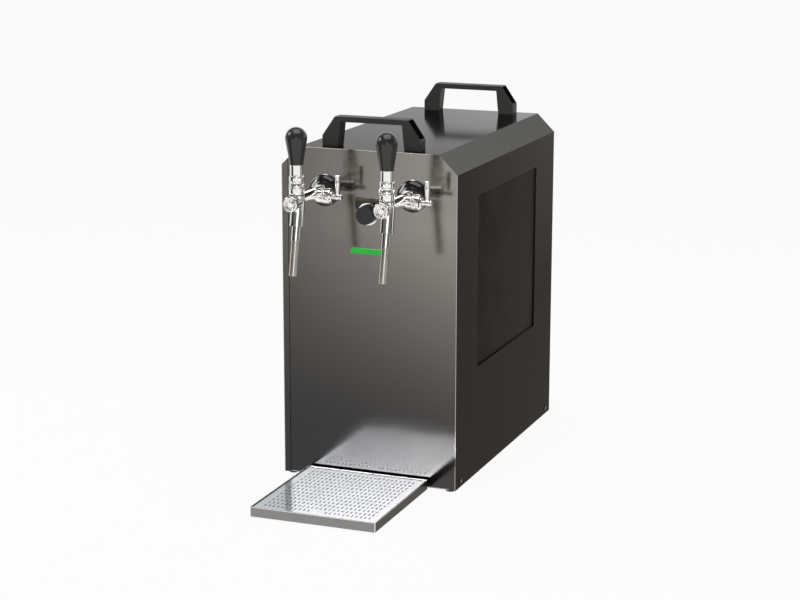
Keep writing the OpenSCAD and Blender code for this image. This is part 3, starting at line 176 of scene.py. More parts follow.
def plastic(name, color, roughness, grain=0.02, grain_scale=1800.0, spread=0.15, **sockets):
    """Moulded plastic: a fine even grain and slightly uneven gloss."""
    look = Look(name, color, roughness, 0.0, **sockets)
    clouds = look.noise(30.0, 3.0)
    pores = look.noise(grain_scale, 2.0)
    look.put("Base Color", look.blend(clouds, shade(color, 1 - spread), shade(color, 1 + spread)))
    look.put("Roughness", look.remap(clouds, 0.3, 0.7, roughness * 0.85, roughness * 1.15))
    look.put("Normal", look.bump(pores, grain * MM, 0.6))
    return look


# Painted reflection colours for the front: a dark foot and a paler upper right in place of what the sheet
# mirrors
FRONT_PAINTED_DARK_FOOT = (0.046, 0.045, 0.0445)
FRONT_PAINTED_DARK_FOOT_RIGHT = (0.066, 0.062, 0.060)
FRONT_PAINTED_REFLECTION = (0.31, 0.29, 0.265)
# Painted highlight colours for the cover's bends and the outer edges of its front folds
PAINTED_BEND_HIGHLIGHT = (0.75, 0.73, 0.69)
PAINTED_EDGE_HIGHLIGHT = (0.52, 0.50, 0.47)
EDGE_TINT = (0.40, 0.40, 0.40)


def front_painted_reflection(look, lines):
    """Painted reflection: the front's colour is deep at its foot and paler towards its upper right, standing
    in for the dark and light that the sheet mirrors.
    """
    rise = look.maths("POWER", look.remap(look.axis("Z"), 0.080, 0.400), 1.6)
    across = look.remap(look.axis("X"), -HALF_FRONT, HALF_FRONT)
    foot = look.blend(look.maths("POWER", across, 2.0), FRONT_PAINTED_DARK_FOOT, FRONT_PAINTED_DARK_FOOT_RIGHT)
    share = look.maths("MULTIPLY", rise, look.remap(across, 0.0, 1.0, 0.36, 0.95))
    share = look.maths("MULTIPLY", share, look.remap(lines, 0.3, 0.7, 0.97, 1.03))
    return look.blend(share, foot, FRONT_PAINTED_REFLECTION)


def front_steel():
    """Dark bright-rolled sheet with upright rolling lines, whose colour carries a painted reflection: darker
    towards its foot, paler up to the right.
    """
    look = Look("front_steel", FRONT_PAINTED_DARK_FOOT, 0.15, 1.0)
    lines = look.noise(1500.0, 3.0, (1.0, 1.0, 0.01))
    clouds = look.noise(9.0, 2.0)
    look.put("Base Color", front_painted_reflection(look, lines))
    look.put("Roughness", look.remap(clouds, 0.3, 0.7, 0.105, 0.14))
    look.put("Normal", look.bump(lines, 0.0006 * MM, 0.4))
    return look


def cover_steel():
    """The cover's dark sheet with painted light: painted shade on its walls, a paler painted reflection
    where it faces up, the front's painted reflection on its front folds, and painted highlights on its
    bends.
    """
    wall = (0.064, 0.058, 0.052)
    slope = (0.178, 0.176, 0.172)
    look = Look("cover_steel", wall, 0.12, 1.0, Specular_Tint=EDGE_TINT)
    lines = look.noise(1500.0, 3.0, (1.0, 0.01, 1.0))
    back = look.remap(look.axis("Y"), front_y, cover_high.y)
    across = look.remap(look.axis("X"), -HALF_FRONT, HALF_FRONT)
    rise = look.remap(look.axis("Z"), 0.250, top_z)
    # Painted shade and reflection: the walls grow paler towards the rear top, and the top is graded from a
    # dark left front to a pale right rear
    wall_painted_shade = look.blend(look.maths("MULTIPLY", back, rise), wall, shade(wall, 1.8))
    left_painted_reflection = look.blend(back, (0.052, 0.050, 0.049), (0.235, 0.230, 0.225))
    right_painted_reflection = look.blend(back, (0.115, 0.112, 0.109), (0.675, 0.660, 0.640))
    top_painted_reflection = look.blend(across, left_painted_reflection, right_painted_reflection)
    # Painted light by facing: faces turned up take the paler slope and top colours instead of the wall's
    up = look.normal("Z")
    tone = look.blend(look.remap(up, 0.10, 0.60), wall_painted_shade, slope)
    tone = look.blend(look.remap(up, 0.80, 0.98), tone, top_painted_reflection)
    facing = look.normal("Y")
    outward = look.maths("ABSOLUTE", look.axis("X"))
    # Painted highlight: a pale line along the outer edges of the front folds; the rest of each front fold
    # takes the front's painted reflection
    side_edge = look.remap(outward, cover_high.x - 1.0 * MM, cover_high.x - 0.6 * MM)
    top_edge = look.remap(look.axis("Z"), top_z - 1.1 * MM, top_z - 0.7 * MM)
    fold = look.blend(look.maths("MAXIMUM", side_edge, top_edge), front_painted_reflection(look, lines), PAINTED_EDGE_HIGHLIGHT)
    tone = look.blend(look.remap(facing, -0.90, -0.98), tone, fold)
    # Painted highlight on the front bends, picked out by which way they face
    bend = look.maths("MULTIPLY", look.remap(facing, -0.15, -0.35), look.remap(facing, -0.97, -0.88))
    tone = look.blend(bend, tone, PAINTED_BEND_HIGHLIGHT)
    look.put("Base Color", tone)
    look.put("Roughness", look.remap(look.noise(9.0), 0.3, 0.7, 0.10, 0.14))
    look.put("Normal", look.bump(lines, 0.0006 * MM, 0.4))
    return look


def tray_steel():
    """Brushed tray sheet with painted shade on its sides and a painted highlight along its rim and down its
    front corners.
    """
    color = (0.27, 0.262, 0.257)
    look = Look("tray_steel", color, 0.28, 1.0, Specular_Tint=(0.3, 0.3, 0.3))
    tray_low, tray_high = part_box("drip_tray")
    lines = look.noise(2600.0, 3.0, (0.02, 0.02, 1.0))
    tone = look.blend(look.remap(lines, 0.3, 0.7), shade(color, 0.93), shade(color, 1.07))
    # Painted shade: faces turned to the side get a darker brown colour
    sideways_shade = look.remap(look.maths("ABSOLUTE", look.normal("X")), 0.5, 0.9)
    tone = look.blend(sideways_shade, tone, (0.185, 0.172, 0.160))
    # Painted highlight: a pale line along the top of the rim and down the front corners
    rim = look.remap(look.axis("Z"), tray_high.z - 1.2 * MM, tray_high.z - 0.9 * MM)
    front = look.remap(look.axis("Y"), tray_low.y + 1.1 * MM, tray_low.y + 0.8 * MM)
    side = look.maths("ABSOLUTE", look.axis("X"))
    side = look.remap(side, tray_high.x - 1.1 * MM, tray_high.x - 0.8 * MM)
    rim_highlight = look.maths("MAXIMUM", rim, look.maths("MULTIPLY", front, side))
    look.put("Base Color", look.blend(rim_highlight, tone, (0.93, 0.92, 0.90)))
    look.put("Roughness", look.remap(look.noise(20.0), 0.3, 0.7, 0.24, 0.32))
    look.put("Normal", look.bump(lines, 0.003 * MM, 0.5))
    return look


def grid_steel():
    """Bright perforated plate, a little cooler in tint than the sheet round it."""
    color = (0.62, 0.645, 0.675)
    look = Look("grid_steel", color, 0.16, 0.60, Specular_Tint=(0.45, 0.46, 0.48))
    lines = look.noise(2600.0, 3.0, (1.0, 0.02, 1.0))
    clouds = look.noise(35.0, 3.0)
    look.put("Base Color", look.blend(look.remap(clouds, 0.3, 0.7), shade(color, 0.92), shade(color, 1.05)))
    look.put("Roughness", look.remap(clouds, 0.3, 0.7, 0.13, 0.20))
    look.put("Normal", look.bump(lines, 0.002 * MM, 0.4))
    return look


def plate_look():
    """Glossy dark plate with a painted bronze highlight along its upper edge."""
    dark = (0.010, 0.009, 0.008)
    bronze = (0.20, 0.125, 0.045)
    look = Look("gloss_black", dark, 0.10)
    plate_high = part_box("dial_plate")[1]
    # Painted highlight: a bronze colour along the plate's upper edge, broken up by noise
    rise = look.remap(look.axis("Z"), plate_high.z - 6.0 * MM, plate_high.z - 1.0 * MM)
    painted_highlight = look.maths("MULTIPLY", rise, look.remap(look.noise(70.0, 2.0), 0.35, 0.65, 0.3, 1.0))
    look.put("Base Color", look.blend(painted_highlight, dark, bronze))
    look.put("Roughness", look.remap(look.noise(60.0), 0.3, 0.7, 0.08, 0.13))
    look.put("Normal", look.bump(look.noise(500.0), 0.002 * MM, 0.5))
    return look


LOOKS = {
    "front_steel": front_steel(),
    "cover_steel": cover_steel(),
    "rear_steel": metal("rear_steel", (0.10, 0.096, 0.09), 0.30, "Z"),
    "mesh_steel": metal("mesh_steel", (0.075, 0.069, 0.060), 0.45, None, 0.12, Specular_Tint=EDGE_TINT),
    "case_screw_steel": metal("case_screw_steel", (0.10, 0.095, 0.09), 0.3),
    "grip_plastic": plastic(
        "grip_plastic", (0.060, 0.059, 0.056), 0.42, 0.02, 1400.0, Specular_IOR_Level=0.12,
    ),
    # Near-black painted shade for the faces of the handle pockets
    "grip_pocket_shade": plastic(
        "grip_pocket_shade", (0.006, 0.006, 0.006), 0.6, 0.02, 1400.0, Specular_IOR_Level=0.1,
    ),
    "galvanised_steel": metal("galvanised_steel", (0.45, 0.46, 0.47), 0.4, None, 0.2),
    "black_rubber": plastic("black_rubber", (0.012, 0.012, 0.012), 0.7, 0.05, 900.0),
    "green_enamel": plastic("green_enamel", (0.008, 0.80, 0.06), 0.3, 0.005),
    "gloss_black": plate_look(),
    "tap_grip": plastic("tap_grip", (0.036, 0.035, 0.032), 0.20, 0.004, 900.0),
    "rosette": plastic("rosette", (0.006, 0.0065, 0.0075), 0.07, 0.002, 300.0),
    "knob_plastic": plastic("knob_plastic", (0.024, 0.024, 0.0245), 0.35, 0.02, 1500.0),
    "chrome": metal("chrome", (0.90, 0.885, 0.86), 0.05, None, 0.03),
    "steel": metal("steel", (0.74, 0.68, 0.62), 0.28, "Z", 0.1),
    "ivory_plastic": plastic("ivory_plastic", (0.52, 0.47, 0.37), 0.5),
    "fitting_plastic": plastic("fitting_plastic", (0.016, 0.016, 0.016), 0.45),
    "rocker_plastic": plastic("rocker_plastic", (0.01, 0.20, 0.03), 0.25, 0.005),
    "compressor_paint": plastic("compressor_paint", (0.012, 0.012, 0.013), 0.3, 0.02, 300.0),
    "aluminium": metal("aluminium", (0.62, 0.63, 0.64), 0.35, None, 0.15),
    "foam": plastic("foam", (0.040, 0.040, 0.044), 0.9, 0.3, 500.0, 0.3),
    "copper": metal("copper", (0.68, 0.33, 0.17), 0.28, None, 0.2),
    "tube_plastic": plastic("tube_plastic", (0.62, 0.67, 0.72), 0.3, 0.003),
    "white_plastic": plastic("white_plastic", (0.72, 0.72, 0.69), 0.4),
    "tray_steel": tray_steel(),
    "grid_steel": grid_steel(),
    "magnet": metal("magnet", (0.22, 0.22, 0.23), 0.35),
    "card_paper": plastic("card_paper", (0.02, 0.02, 0.02), 0.9),
}

slot_of = {part["node"]: part["material_slot"] for part in record["subparts"]}
for name, slot in slot_of.items():
    piece = frame["nodes"][name]
    look = LOOKS[slot].material
    for holder in piece.material_slots:
        holder.material = look
    if not piece.material_slots:
        piece.data.materials.append(look)


# Shapes

def rounded(points, steps=4):
    """An outline with rounded corners. Each point is (radius, height, fillet), in millimetres."""
    line = []
    for index, (x, y, fillet) in enumerate(points):
        corner = Vector((x, y))
        if not fillet:
            line.append((x, y))
            continue
        before = Vector(points[index - 1][:2]) - corner
        after = Vector(points[(index + 1) % len(points)][:2]) - corner
        reach = fillet / math.tan(before.angle(after) / 2)
        start = corner + before.normalized() * min(reach, 0.49 * before.length)
        end = corner + after.normalized() * min(reach, 0.49 * after.length)
        for step in range(steps + 1):
            share = step / steps
            spot = start * (1 - share) ** 2 + corner * 2 * share * (1 - share) + end * share ** 2
            line.append((spot.x, spot.y))
    return line


def arc(radius, height, first, last, steps):
    """Points on a ball's outline between two angles from its waist, in degrees."""
    angles = [math.radians(first + (last - first) * step / steps) for step in range(steps + 1)]
    return [(radius * math.cos(angle), height + radius * math.sin(angle)) for angle in angles]


def turn(shape, outline, place, steps=64):
    """Turns an outline about the local Z axis. Points at radius 0 become poles."""
    rings = []
    for radius, height in outline:
        if radius < 1e-6:
            rings.append([shape.verts.new(place @ Vector((0.0, 0.0, height)))])
            continue
        angles = [2 * math.pi * step / steps for step in range(steps)]
        rings.append([
            shape.verts.new(place @ Vector((radius * math.cos(angle), radius * math.sin(angle), height)))
            for angle in angles
        ])
    for low, high in zip(rings, rings[1:] + rings[:1]):
        if len(low) == 1 and len(high) == 1:
            continue
        for step in range(steps):
            after = (step + 1) % steps
            order = ((low, step), (low, after), (high, after), (high, step))
            corners = [ring[spot % len(ring)] for ring, spot in order]
            shape.faces.new(tuple(dict.fromkeys(corners)))


def block(shape, low, high, place):
    """A rectangular solid between two corners."""
    corners = [
        shape.verts.new(place @ Vector((x, y, z)))
        for z in (low[2], high[2]) for y in (low[1], high[1]) for x in (low[0], high[0])
    ]
    for face in ((0, 2, 3, 1), (4, 5, 7, 6), (0, 1, 5, 4), (2, 6, 7, 3), (0, 4, 6, 2), (1, 3, 7, 5)):
        shape.faces.new([corners[index] for index in face])


def add_piece(name, shape, body, slot, *replaced, look=None):
    """Makes a piece of a shape that rides on a body. Its look is the slot's, or the one that look names."""
    bmesh.ops.recalc_face_normals(shape, faces=shape.faces)
    mesh = bpy.data.meshes.new(name)
    shape.to_mesh(mesh)
    shape.free()
    mesh.shade_smooth()
    mesh.set_sharp_from_angle(angle=math.radians(32.0))
    mesh.materials.append(LOOKS[look or slot].material)
    item = bpy.data.objects.new(name, mesh)
    bpy.context.scene.collection.objects.link(item)
    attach(item, body)
    if replaced:
        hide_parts(*replaced)
    return item


def soften(item, width, segments=2, angle=30.0):
    """Rounds a piece's sharp edges with modifiers."""
    weld = item.modifiers.new("weld", "WELD")
    weld.merge_threshold = 0.005 * MM
    flatten = item.modifiers.new("flatten", "DECIMATE")
    flatten.decimate_type = "DISSOLVE"
    flatten.angle_limit = math.radians(0.5)
    bevel = item.modifiers.new("bevel", "BEVEL")
    bevel.width = width * MM
    bevel.segments = segments
    bevel.limit_method = "ANGLE"
    bevel.angle_limit = math.radians(angle)
    bevel.miter_outer = "MITER_ARC"
    normals = item.modifiers.new("normals", "WEIGHTED_NORMAL")
    normals.weight = 100


UP = Matrix.Identity(4)
FORWARD = Matrix.Rotation(math.pi / 2, 4, "X")
RIGHT = Matrix.Rotation(math.pi / 2, 4, "Y")


def at_tap(side, across, reach, up, way):
    """A place on a tap in millimetres: right of its axis, forward of the front, above the barrel."""
    spot = Vector((side * tap_x + across * MM, front_y - reach * MM, tap_z + up * MM))
    return Matrix.Translation(spot) @ way @ Matrix.Scale(MM, 4)


# Taps

LEVER = (
    [(0.0, 2.0), (1.4, 2.6), (2.0, 4.0)]
    + arc(9.6, 23.0, -77.0, 31.0, 18)
    + rounded([
        (8.2, 28.0, 0), (10.9, 28.0, 1.0), (10.9, 30.3, 0.9), (10.3, 30.5, 0.2), (10.3, 31.1, 0.2),
        (10.9, 31.3, 0.7), (10.9, 37.5, 2.4), (9.5, 37.5, 0.5), (9.5, 53.4, 0.2), (9.8, 53.6, 0.1),
        (9.8, 54.0, 0), (3.0, 54.0, 0), (3.0, 68.0, 0), (0.0, 68.0, 0),
    ])
)
BONNET = rounded([
    (8.6, 11.1, 0), (11.5, 11.1, 0.5), (11.5, 12.9, 0.5), (11.0, 13.1, 0.2), (11.0, 17.9, 0.2),
    (11.5, 18.2, 0.7), (11.5, 21.5, 1.2), (9.9, 21.5, 0.3), (9.3, 20.0, 0.5), (8.6, 18.0, 0.3),
])
GRIP = (
    rounded([(3.1, 0.0, 0), (10.0, 0.0, 0.7), (10.6, 6.0, 0), (11.9, 14.0, 0), (13.6, 23.5, 0),
             (15.05, 31.5, 0)])
    + arc(16.0, 38.5, -11.0, 90.0, 24)[:-1]
    + [(0.0, 54.5), (0.0, 14.5), (3.1, 14.0)]
)
CAP = rounded([
    (0.0, 0.0, 0), (9.6, 0.0, 0.3), (11.35, 1.2, 0.6), (11.35, 14.0, 2.0), (7.35, 14.0, 2.0),
    (7.35, 10.6, 0.4), (5.9, 10.6, 0.3), (5.9, 12.4, 0.8), (4.0, 13.9, 1.4), (0.0, 14.0, 0),
])
ROSETTE = rounded([
    (7.1, -1.2, 0), (24.0, -1.2, 0), (24.0, 1.2, 1.1), (22.9, 1.6, 0.3), (22.4, 2.4, 0.6),
    (19.5, 5.6, 4.0), (16.6, 7.2, 1.2), (15.6, 7.3, 0.4), (15.2, 8.6, 0.6), (13.4, 9.8, 0.8),
    (7.1, 9.8, 0),
])
COMPENSATOR = rounded([
    (3.1, 18.0, 0), (10.6, 18.0, 0.3), (11.5, 18.9, 0.5), (11.5, 20.6, 0.5), (11.1, 20.9, 0.2),
    (11.1, 21.7, 0.2), (11.5, 22.0, 0.5), (11.5, 29.6, 1.4), (9.2, 31.2, 0.9), (8.2, 33.0, 0.9),
    (3.1, 33.0, 0),
])
SPINDLE = [(0.0, 6.6), (4.6, 6.6), (4.6, 10.0), (3.0, 10.0), (3.0, 34.0), (0.0, 34.0)]
HUB = rounded([
    (0.0, 33.3, 0), (4.25, 33.3, 0.4), (4.25, 35.2, 0.4), (3.5, 35.6, 0.3), (3.5, 36.6, 0.3),
    (4.4, 37.2, 0.9), (4.4, 42.6, 0.9), (3.5, 43.2, 0.3), (3.5, 43.9, 0.3), (4.25, 44.3, 0.5),
    (4.25, 47.3, 1.3), (0.0, 47.3, 0),
])
CRANK_PIN = [(0.0, 1.0), (1.5, 1.0), (1.5, 7.0), (0.0, 7.0)]
FINGER = rounded([
    (0.0, 0.0, 0), (2.5, 0.0, 0), (2.5, 6.0, 3.0), (3.3, 14.0, 4.0), (3.75, 21.0, 5.0), (3.1, 28.2, 0.5),
    (3.85, 28.8, 0.4), (3.85, 31.5, 1.1), (0.0, 31.5, 0),
])

# Where the outlines sit on a tap, in millimetres
GRIP_FOOT = 54.0
CAP_AHEAD = 11.5
COMPENSATOR_REACH = 45.0
FINGER_ACROSS = 40.0
CRANK_DROP = 3.0


def tap_levers():
    """The chromed ball, collar and ferrule that carry each black handle, and the handle itself."""
    for name, side in SIDES:
        body = f"{name}_handle"
        lever = bmesh.new()
        turn(lever, LEVER, at_tap(side, 0, handle_reach, 0, UP))
        add_piece(f"{name}_lever_turned", lever, body, "chrome", f"{name}_tap_lever")
        grip = bmesh.new()
        turn(grip, GRIP, at_tap(side, 0, handle_reach, GRIP_FOOT, UP))
        replaced = f"{name}_tap_handle"
        add_piece(f"{name}_handle_turned", grip, body, slot_of[replaced], replaced, look="tap_grip")


def tap_bonnets():
    """The bonnet that holds the ball, with an ear on each side for the cross pin."""
    for name, side in SIDES:
        shape = bmesh.new()
        place = at_tap(side, 0, handle_reach, 0, UP)
        turn(shape, BONNET, place)
        for turned in (-1, 1):
            inner, outer = sorted((turned * 9.95, turned * 11.3))
            block(shape, (inner, -2.5, 20.5), (outer, 2.5, 26.1), place)
        add_piece(f"{name}_bonnet_turned", shape, "cabinet", "chrome", f"{name}_tap_bonnet")


def tap_fittings():
    """Caps, rosettes and compensator bonnets: turned pieces that both taps have."""
    caps, rosettes, bonnets = bmesh.new(), bmesh.new(), bmesh.new()
    for name, side in SIDES:
        turn(caps, CAP, at_tap(side, 0, handle_reach + CAP_AHEAD, 0, FORWARD))
        turn(rosettes, ROSETTE, at_tap(side, 0, 0, 0, FORWARD), 96)
        turn(bonnets, COMPENSATOR, at_tap(side, 0, COMPENSATOR_REACH, 0, RIGHT))
    replaced = "tap_rosettes"
    add_piece("barrel_caps_turned", caps, "cabinet", "chrome", "barrel_caps")
    add_piece("rosettes_turned", rosettes, "cabinet", slot_of[replaced], replaced, look="rosette")
    add_piece("compensator_bonnets_turned", bonnets, "cabinet", "chrome", "compensator_bonnets")


def compensator_levers():
    """The spindle with its crank, the hub and the upright finger lever."""
    for name, side in SIDES:
        shape = bmesh.new()
        axis = at_tap(side, 0, COMPENSATOR_REACH, 0, RIGHT)
        turn(shape, SPINDLE, axis, 32)
        turn(shape, HUB, axis, 48)
        turn(shape, CRANK_PIN, at_tap(side, 0, COMPENSATOR_REACH, -CRANK_DROP, RIGHT), 24)
        turn(shape, FINGER, at_tap(side, FINGER_ACROSS, COMPENSATOR_REACH, 0, UP), 48)
        replaced = f"{name}_compensator_lever"
        add_piece(f"{name}_compensator_lever_turned", shape, f"{name}_compensator", "chrome", replaced)


# Carry handles

# The handle's outline in X and Z, in millimetres, and the edges of it that are its two slopes
BRIDGE = [
    (-78, 0), (-78, 17), (-58, 46), (58, 46), (78, 17), (78, 0),
    (52.5, 0), (48.5, 38), (-48.5, 38), (-52.5, 0),
]
BRIDGE_SLOPES = (1, 3)
POCKET_RIM = 2.4
POCKET_DEPTH = 7.0


def bridge_solid(shape, low, high):
    """The handle's plain solid. Returns its slopes, each a face and the way into the handle."""
    middle = (low.x + high.x) / 2
    sides = []
    for y in (low.y, high.y):
        sides.append([shape.verts.new((middle + x * MM, y, low.z + z * MM)) for x, z in BRIDGE])
    shape.faces.new(sides[0])
    shape.faces.new(sides[1][::-1])
    slopes = []
    for index, (x, z) in enumerate(BRIDGE):
        after = (index + 1) % len(BRIDGE)
        face = shape.faces.new((sides[0][index], sides[0][after], sides[1][after], sides[1][index]))
        if index in BRIDGE_SLOPES:
            way = Vector((BRIDGE[after][1] - z, 0, x - BRIDGE[after][0]))
            slopes.append((face, way.normalized()))
    return slopes


def sink_pocket(shape, slope, inward):
    """Sinks a pocket into a slope and gives its faces the handle's second material, a near-black painted
    shade.
    """
    bmesh.ops.inset_individual(shape, faces=[slope], thickness=POCKET_RIM * MM, depth=0.0)
    pushed = bmesh.ops.extrude_face_region(shape, geom=[slope])
    moved = [item for item in pushed["geom"] if isinstance(item, bmesh.types.BMVert)]
    bmesh.ops.translate(shape, verts=moved, vec=inward * POCKET_DEPTH * MM)
    bmesh.ops.delete(shape, geom=[slope], context="FACES_ONLY")
    for vert in moved:
        for face in vert.link_faces:
            face.material_index = 1


def carry_handle(name):
    """A moulded bridge handle with a rounded bar and a pocket in each slope."""
    shape = bmesh.new()
    slopes = bridge_solid(shape, *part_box(name))
    bmesh.ops.recalc_face_normals(shape, faces=shape.faces)
    for slope, inward in slopes:
        sink_pocket(shape, slope, inward)
    item = add_piece(f"{name}_moulded", shape, "cabinet", "grip_plastic", name)
    # The pockets get the painted shade material
    item.data.materials.append(LOOKS["grip_pocket_shade"].material)
    soften(item, 1.1, 3)


# Perforated sheets

def hole_corners(x, y, hole, corner, steps):
    """The points of a hole's four corners: each an arc of steps, or one point if steps is 0."""
    corners = []
    for turned, (right, up) in enumerate(((-1, -1), (1, -1), (1, 1), (-1, 1))):
        middle = Vector((x + right * (hole[0] / 2 - corner), y + up * (hole[1] / 2 - corner), 0.0))
        points = []
        for step in range(steps + 1):
            angle = math.pi + (turned + step / max(steps, 1)) * math.pi / 2
            points.append(middle + Vector((math.cos(angle), math.sin(angle), 0.0)) * corner)
        corners.append(points)
    return corners


def slotted(shape, columns, rows, hole, corner, steps, place, skip=()):
    """A sheet of cells between lines in X and Y, each with a hole of rounded corners."""
    spots = [[shape.verts.new(place @ Vector((x, y, 0.0))) for x in columns] for y in rows]
    for j in range(len(rows) - 1):
        for i in range(len(columns) - 1):
            outer = (spots[j][i], spots[j][i + 1], spots[j + 1][i + 1], spots[j + 1][i])
            inside = 0 < i < len(columns) - 2 and 0 < j < len(rows) - 2
            if not inside or (i, j) in skip:
                shape.faces.new(outer)
                continue
            x = (columns[i] + columns[i + 1]) / 2
            y = (rows[j] + rows[j + 1]) / 2
            arcs = [
                [shape.verts.new(place @ point) for point in points]
                for points in hole_corners(x, y, hole, corner, steps)
            ]
            for turned in range(4):
                after = (turned + 1) % 4
                for first, second in zip(arcs[turned], arcs[turned][1:]):
                    shape.faces.new((outer[turned], second, first))
                shape.faces.new((outer[turned], outer[after], arcs[after][0], arcs[turned][-1]))


def spread_lines(low, high, margin, pitch):
    """Lines of a row of equal cells with a plain margin at each end."""
    count = int((high - low - 2 * margin) / pitch)
    start = (low + high - count * pitch) / 2
    return [low] + [start + step * pitch for step in range(count + 1)] + [high]


def thicken(shape, way):
    """Gives a sheet its thickness: a copy of its faces moved a way, and walls between the two."""
    made = bmesh.ops.extrude_face_region(shape, geom=list(shape.faces), use_keep_orig=True)
    moved = [item for item in made["geom"] if isinstance(item, bmesh.types.BMVert)]
    bmesh.ops.translate(shape, verts=moved, vec=way)


def vent_meshes():
    """The fine dark mesh behind each side window."""
    margin, pitch, hole, sheet = 4.0, 3.6, 1.4, 0.8
    for name, side in SIDES:
        low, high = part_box(f"{name}_vent_mesh")
        columns = spread_lines(low.y / MM, high.y / MM, margin, pitch)
        rows = spread_lines(low.z / MM, high.z / MM, margin, pitch)
        face_x = high.x if side > 0 else low.x
        turned = Matrix(((0, 0, side, face_x), (MM, 0, 0, 0), (0, MM, 0, 0), (0, 0, 0, 1)))
        shape = bmesh.new()
        slotted(shape, columns, rows, (hole, hole), 0.0, 0, turned)
        thicken(shape, Vector((-side * sheet * MM, 0, 0)))
        add_piece(f"{name}_vent_screen", shape, "cabinet", "mesh_steel", f"{name}_vent_mesh")


GRID_SHEET = 1.2


def drip_grid():
    """The lift-out plate: fine slots in a plain margin, with three cells left plain at its front."""
    low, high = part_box("drip_grid")
    columns = spread_lines(low.x / MM, high.x / MM, 8.0, 6.8)
    rows = spread_lines(low.y / MM, high.y / MM, 9.0, 14.4)
    shape = bmesh.new()
    place = Matrix.Translation((0, 0, high.z)) @ Matrix.Scale(MM, 4)
    middle = len(columns) // 2 - 1
    skip = [(middle + step, 1) for step in (-1, 0, 1)]
    slotted(shape, columns, rows, (1.8, 8.8), 0.85, 3, place, skip)
    thicken(shape, Vector((0, 0, -GRID_SHEET * MM)))
    add_piece("drip_grid_plate", shape, "grid", "grid_steel", "drip_grid")


def grid_skirt():
    """The thin wall that the plate stands on in the tray."""
    low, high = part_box("drip_grid")
    shape = bmesh.new()
    rings = []
    for inset in (0.0, 1.0 * MM):
        left, right = low.x + inset, high.x - inset
        near, far = low.y + inset, high.y - inset
        for z in (low.z, high.z - GRID_SHEET * MM):
            corners = ((left, near), (right, near), (right, far), (left, far))
            rings.append([shape.verts.new((x, y, z)) for x, y in corners])
    for first, second in ((0, 1), (1, 3), (3, 2), (2, 0)):
        for index in range(4):
            after = (index + 1) % 4
            start, end = rings[first], rings[second]
            shape.faces.new((start[index], start[after], end[after], end[index]))
    add_piece("drip_grid_skirt", shape, "grid", "grid_steel")


tap_levers()
tap_bonnets()
tap_fittings()
compensator_levers()
carry_handle("front_carry_handle")
carry_handle("rear_carry_handle")
vent_meshes()
drip_grid()
grid_skirt()

# How far the sharp edges of the CAD nodes are rounded, in millimetres
SOFTENED = {
    "wrap_cover": 0.7, "front_panel": 0.3, "drip_tray": 0.4, "thermostat_knob": 0.8,
    "knob_ring": 0.3, "dial_plate": 0.3, "left_tap_body": 0.45, "right_tap_body": 0.45,
    "left_nozzle": 0.3, "right_nozzle": 0.3, "left_tap_shank": 0.4, "right_tap_shank": 0.4,
    "rubber_feet": 0.6, "case_screws": 0.3, "beer_inlets": 0.4, "power_inlet": 0.4,
    "switch_housing": 0.4, "switch_rocker": 0.3,
}
for name, width in SOFTENED.items():
    soften(frame["nodes"][name], width)


# Stage: a pale floor that rises into a backdrop, plain soft lamps and the camera

def stage_look():
    """Pale paper. What the camera or a mirror sees of it is lifted towards white."""
    look = Look("stage_paper", (0.88, 0.88, 0.88), 0.9)
    look.put("Base Color", look.blend(look.noise(3.0), (0.86, 0.86, 0.86), (0.90, 0.90, 0.90)))
    path = look.node("ShaderNodeLightPath", {}).outputs
    seen = look.maths("MAXIMUM", path["Is Camera Ray"], path["Is Glossy Ray"])
    seen = look.maths("MAXIMUM", seen, path["Is Transmission Ray"])
    white = look.node("ShaderNodeEmission", {"Color": (1.0, 1.0, 1.0), "Strength": 1.0}).outputs["Emission"]
    share = look.maths("MULTIPLY", seen, look.remap(look.axis("Z"), 0.0, 1.5, 0.94, 1.0))
    mixed = look.node("ShaderNodeMixShader", {0: share, 1: look.shader.outputs["BSDF"], 2: white})
    look.feed(look.tree.nodes["Material Output"].inputs["Surface"], mixed.outputs["Shader"])
    return look.material


def stage_sheet():
    """A wide sheet: floor in front, a curve behind, then upright."""
    width, front, back, bend, height = 80.0, -9.0, 5.0, 2.0, 6.0
    steps = 16
    line = [(front, 0.0)]
    for step in range(steps + 1):
        angle = math.pi / 2 * step / steps
        line.append((back + bend * math.sin(angle), bend - bend * math.cos(angle)))
    line.append((back + bend, height))
    shape = bmesh.new()
    rows = [[shape.verts.new((x, y, z)) for x in (-width / 2, width / 2)] for y, z in line]
    for low, high in zip(rows, rows[1:]):
        shape.faces.new((low[0], low[1], high[1], high[0])).smooth = True
    mesh = bpy.data.meshes.new("stage_sheet")
    shape.to_mesh(mesh)
    shape.free()
    sheet = bpy.data.objects.new("stage_sheet", mesh)
    sheet.data.materials.append(stage_look())
    bpy.context.scene.collection.objects.link(sheet)


def dark_card(name, first, last, away, height):
    """An upright curved dark card beside the taps, between two bearings from them in degrees right of
    the front. Only mirrors show it, and there it gives the chrome its dark bands."""
    steps = 8
    shape = bmesh.new()
    rows = []
    for step in range(steps + 1):
        bearing = math.radians(first + (last - first) * step / steps)
        x, y = away * math.sin(bearing), tap_y - away * math.cos(bearing)
        rows.append([shape.verts.new((x, y, z)) for z in (0.02, height)])
    for low, high in zip(rows, rows[1:]):
        shape.faces.new((low[0], low[1], high[1], high[0])).smooth = True
    mesh = bpy.data.meshes.new(name)
    shape.to_mesh(mesh)
    shape.free()
    card = bpy.data.objects.new(name, mesh)
    mesh.materials.append(LOOKS["card_paper"].material)
    card.visible_camera = False
    card.visible_diffuse = False
    card.visible_shadow = False
    card.visible_transmission = False
    bpy.context.scene.collection.objects.link(card)


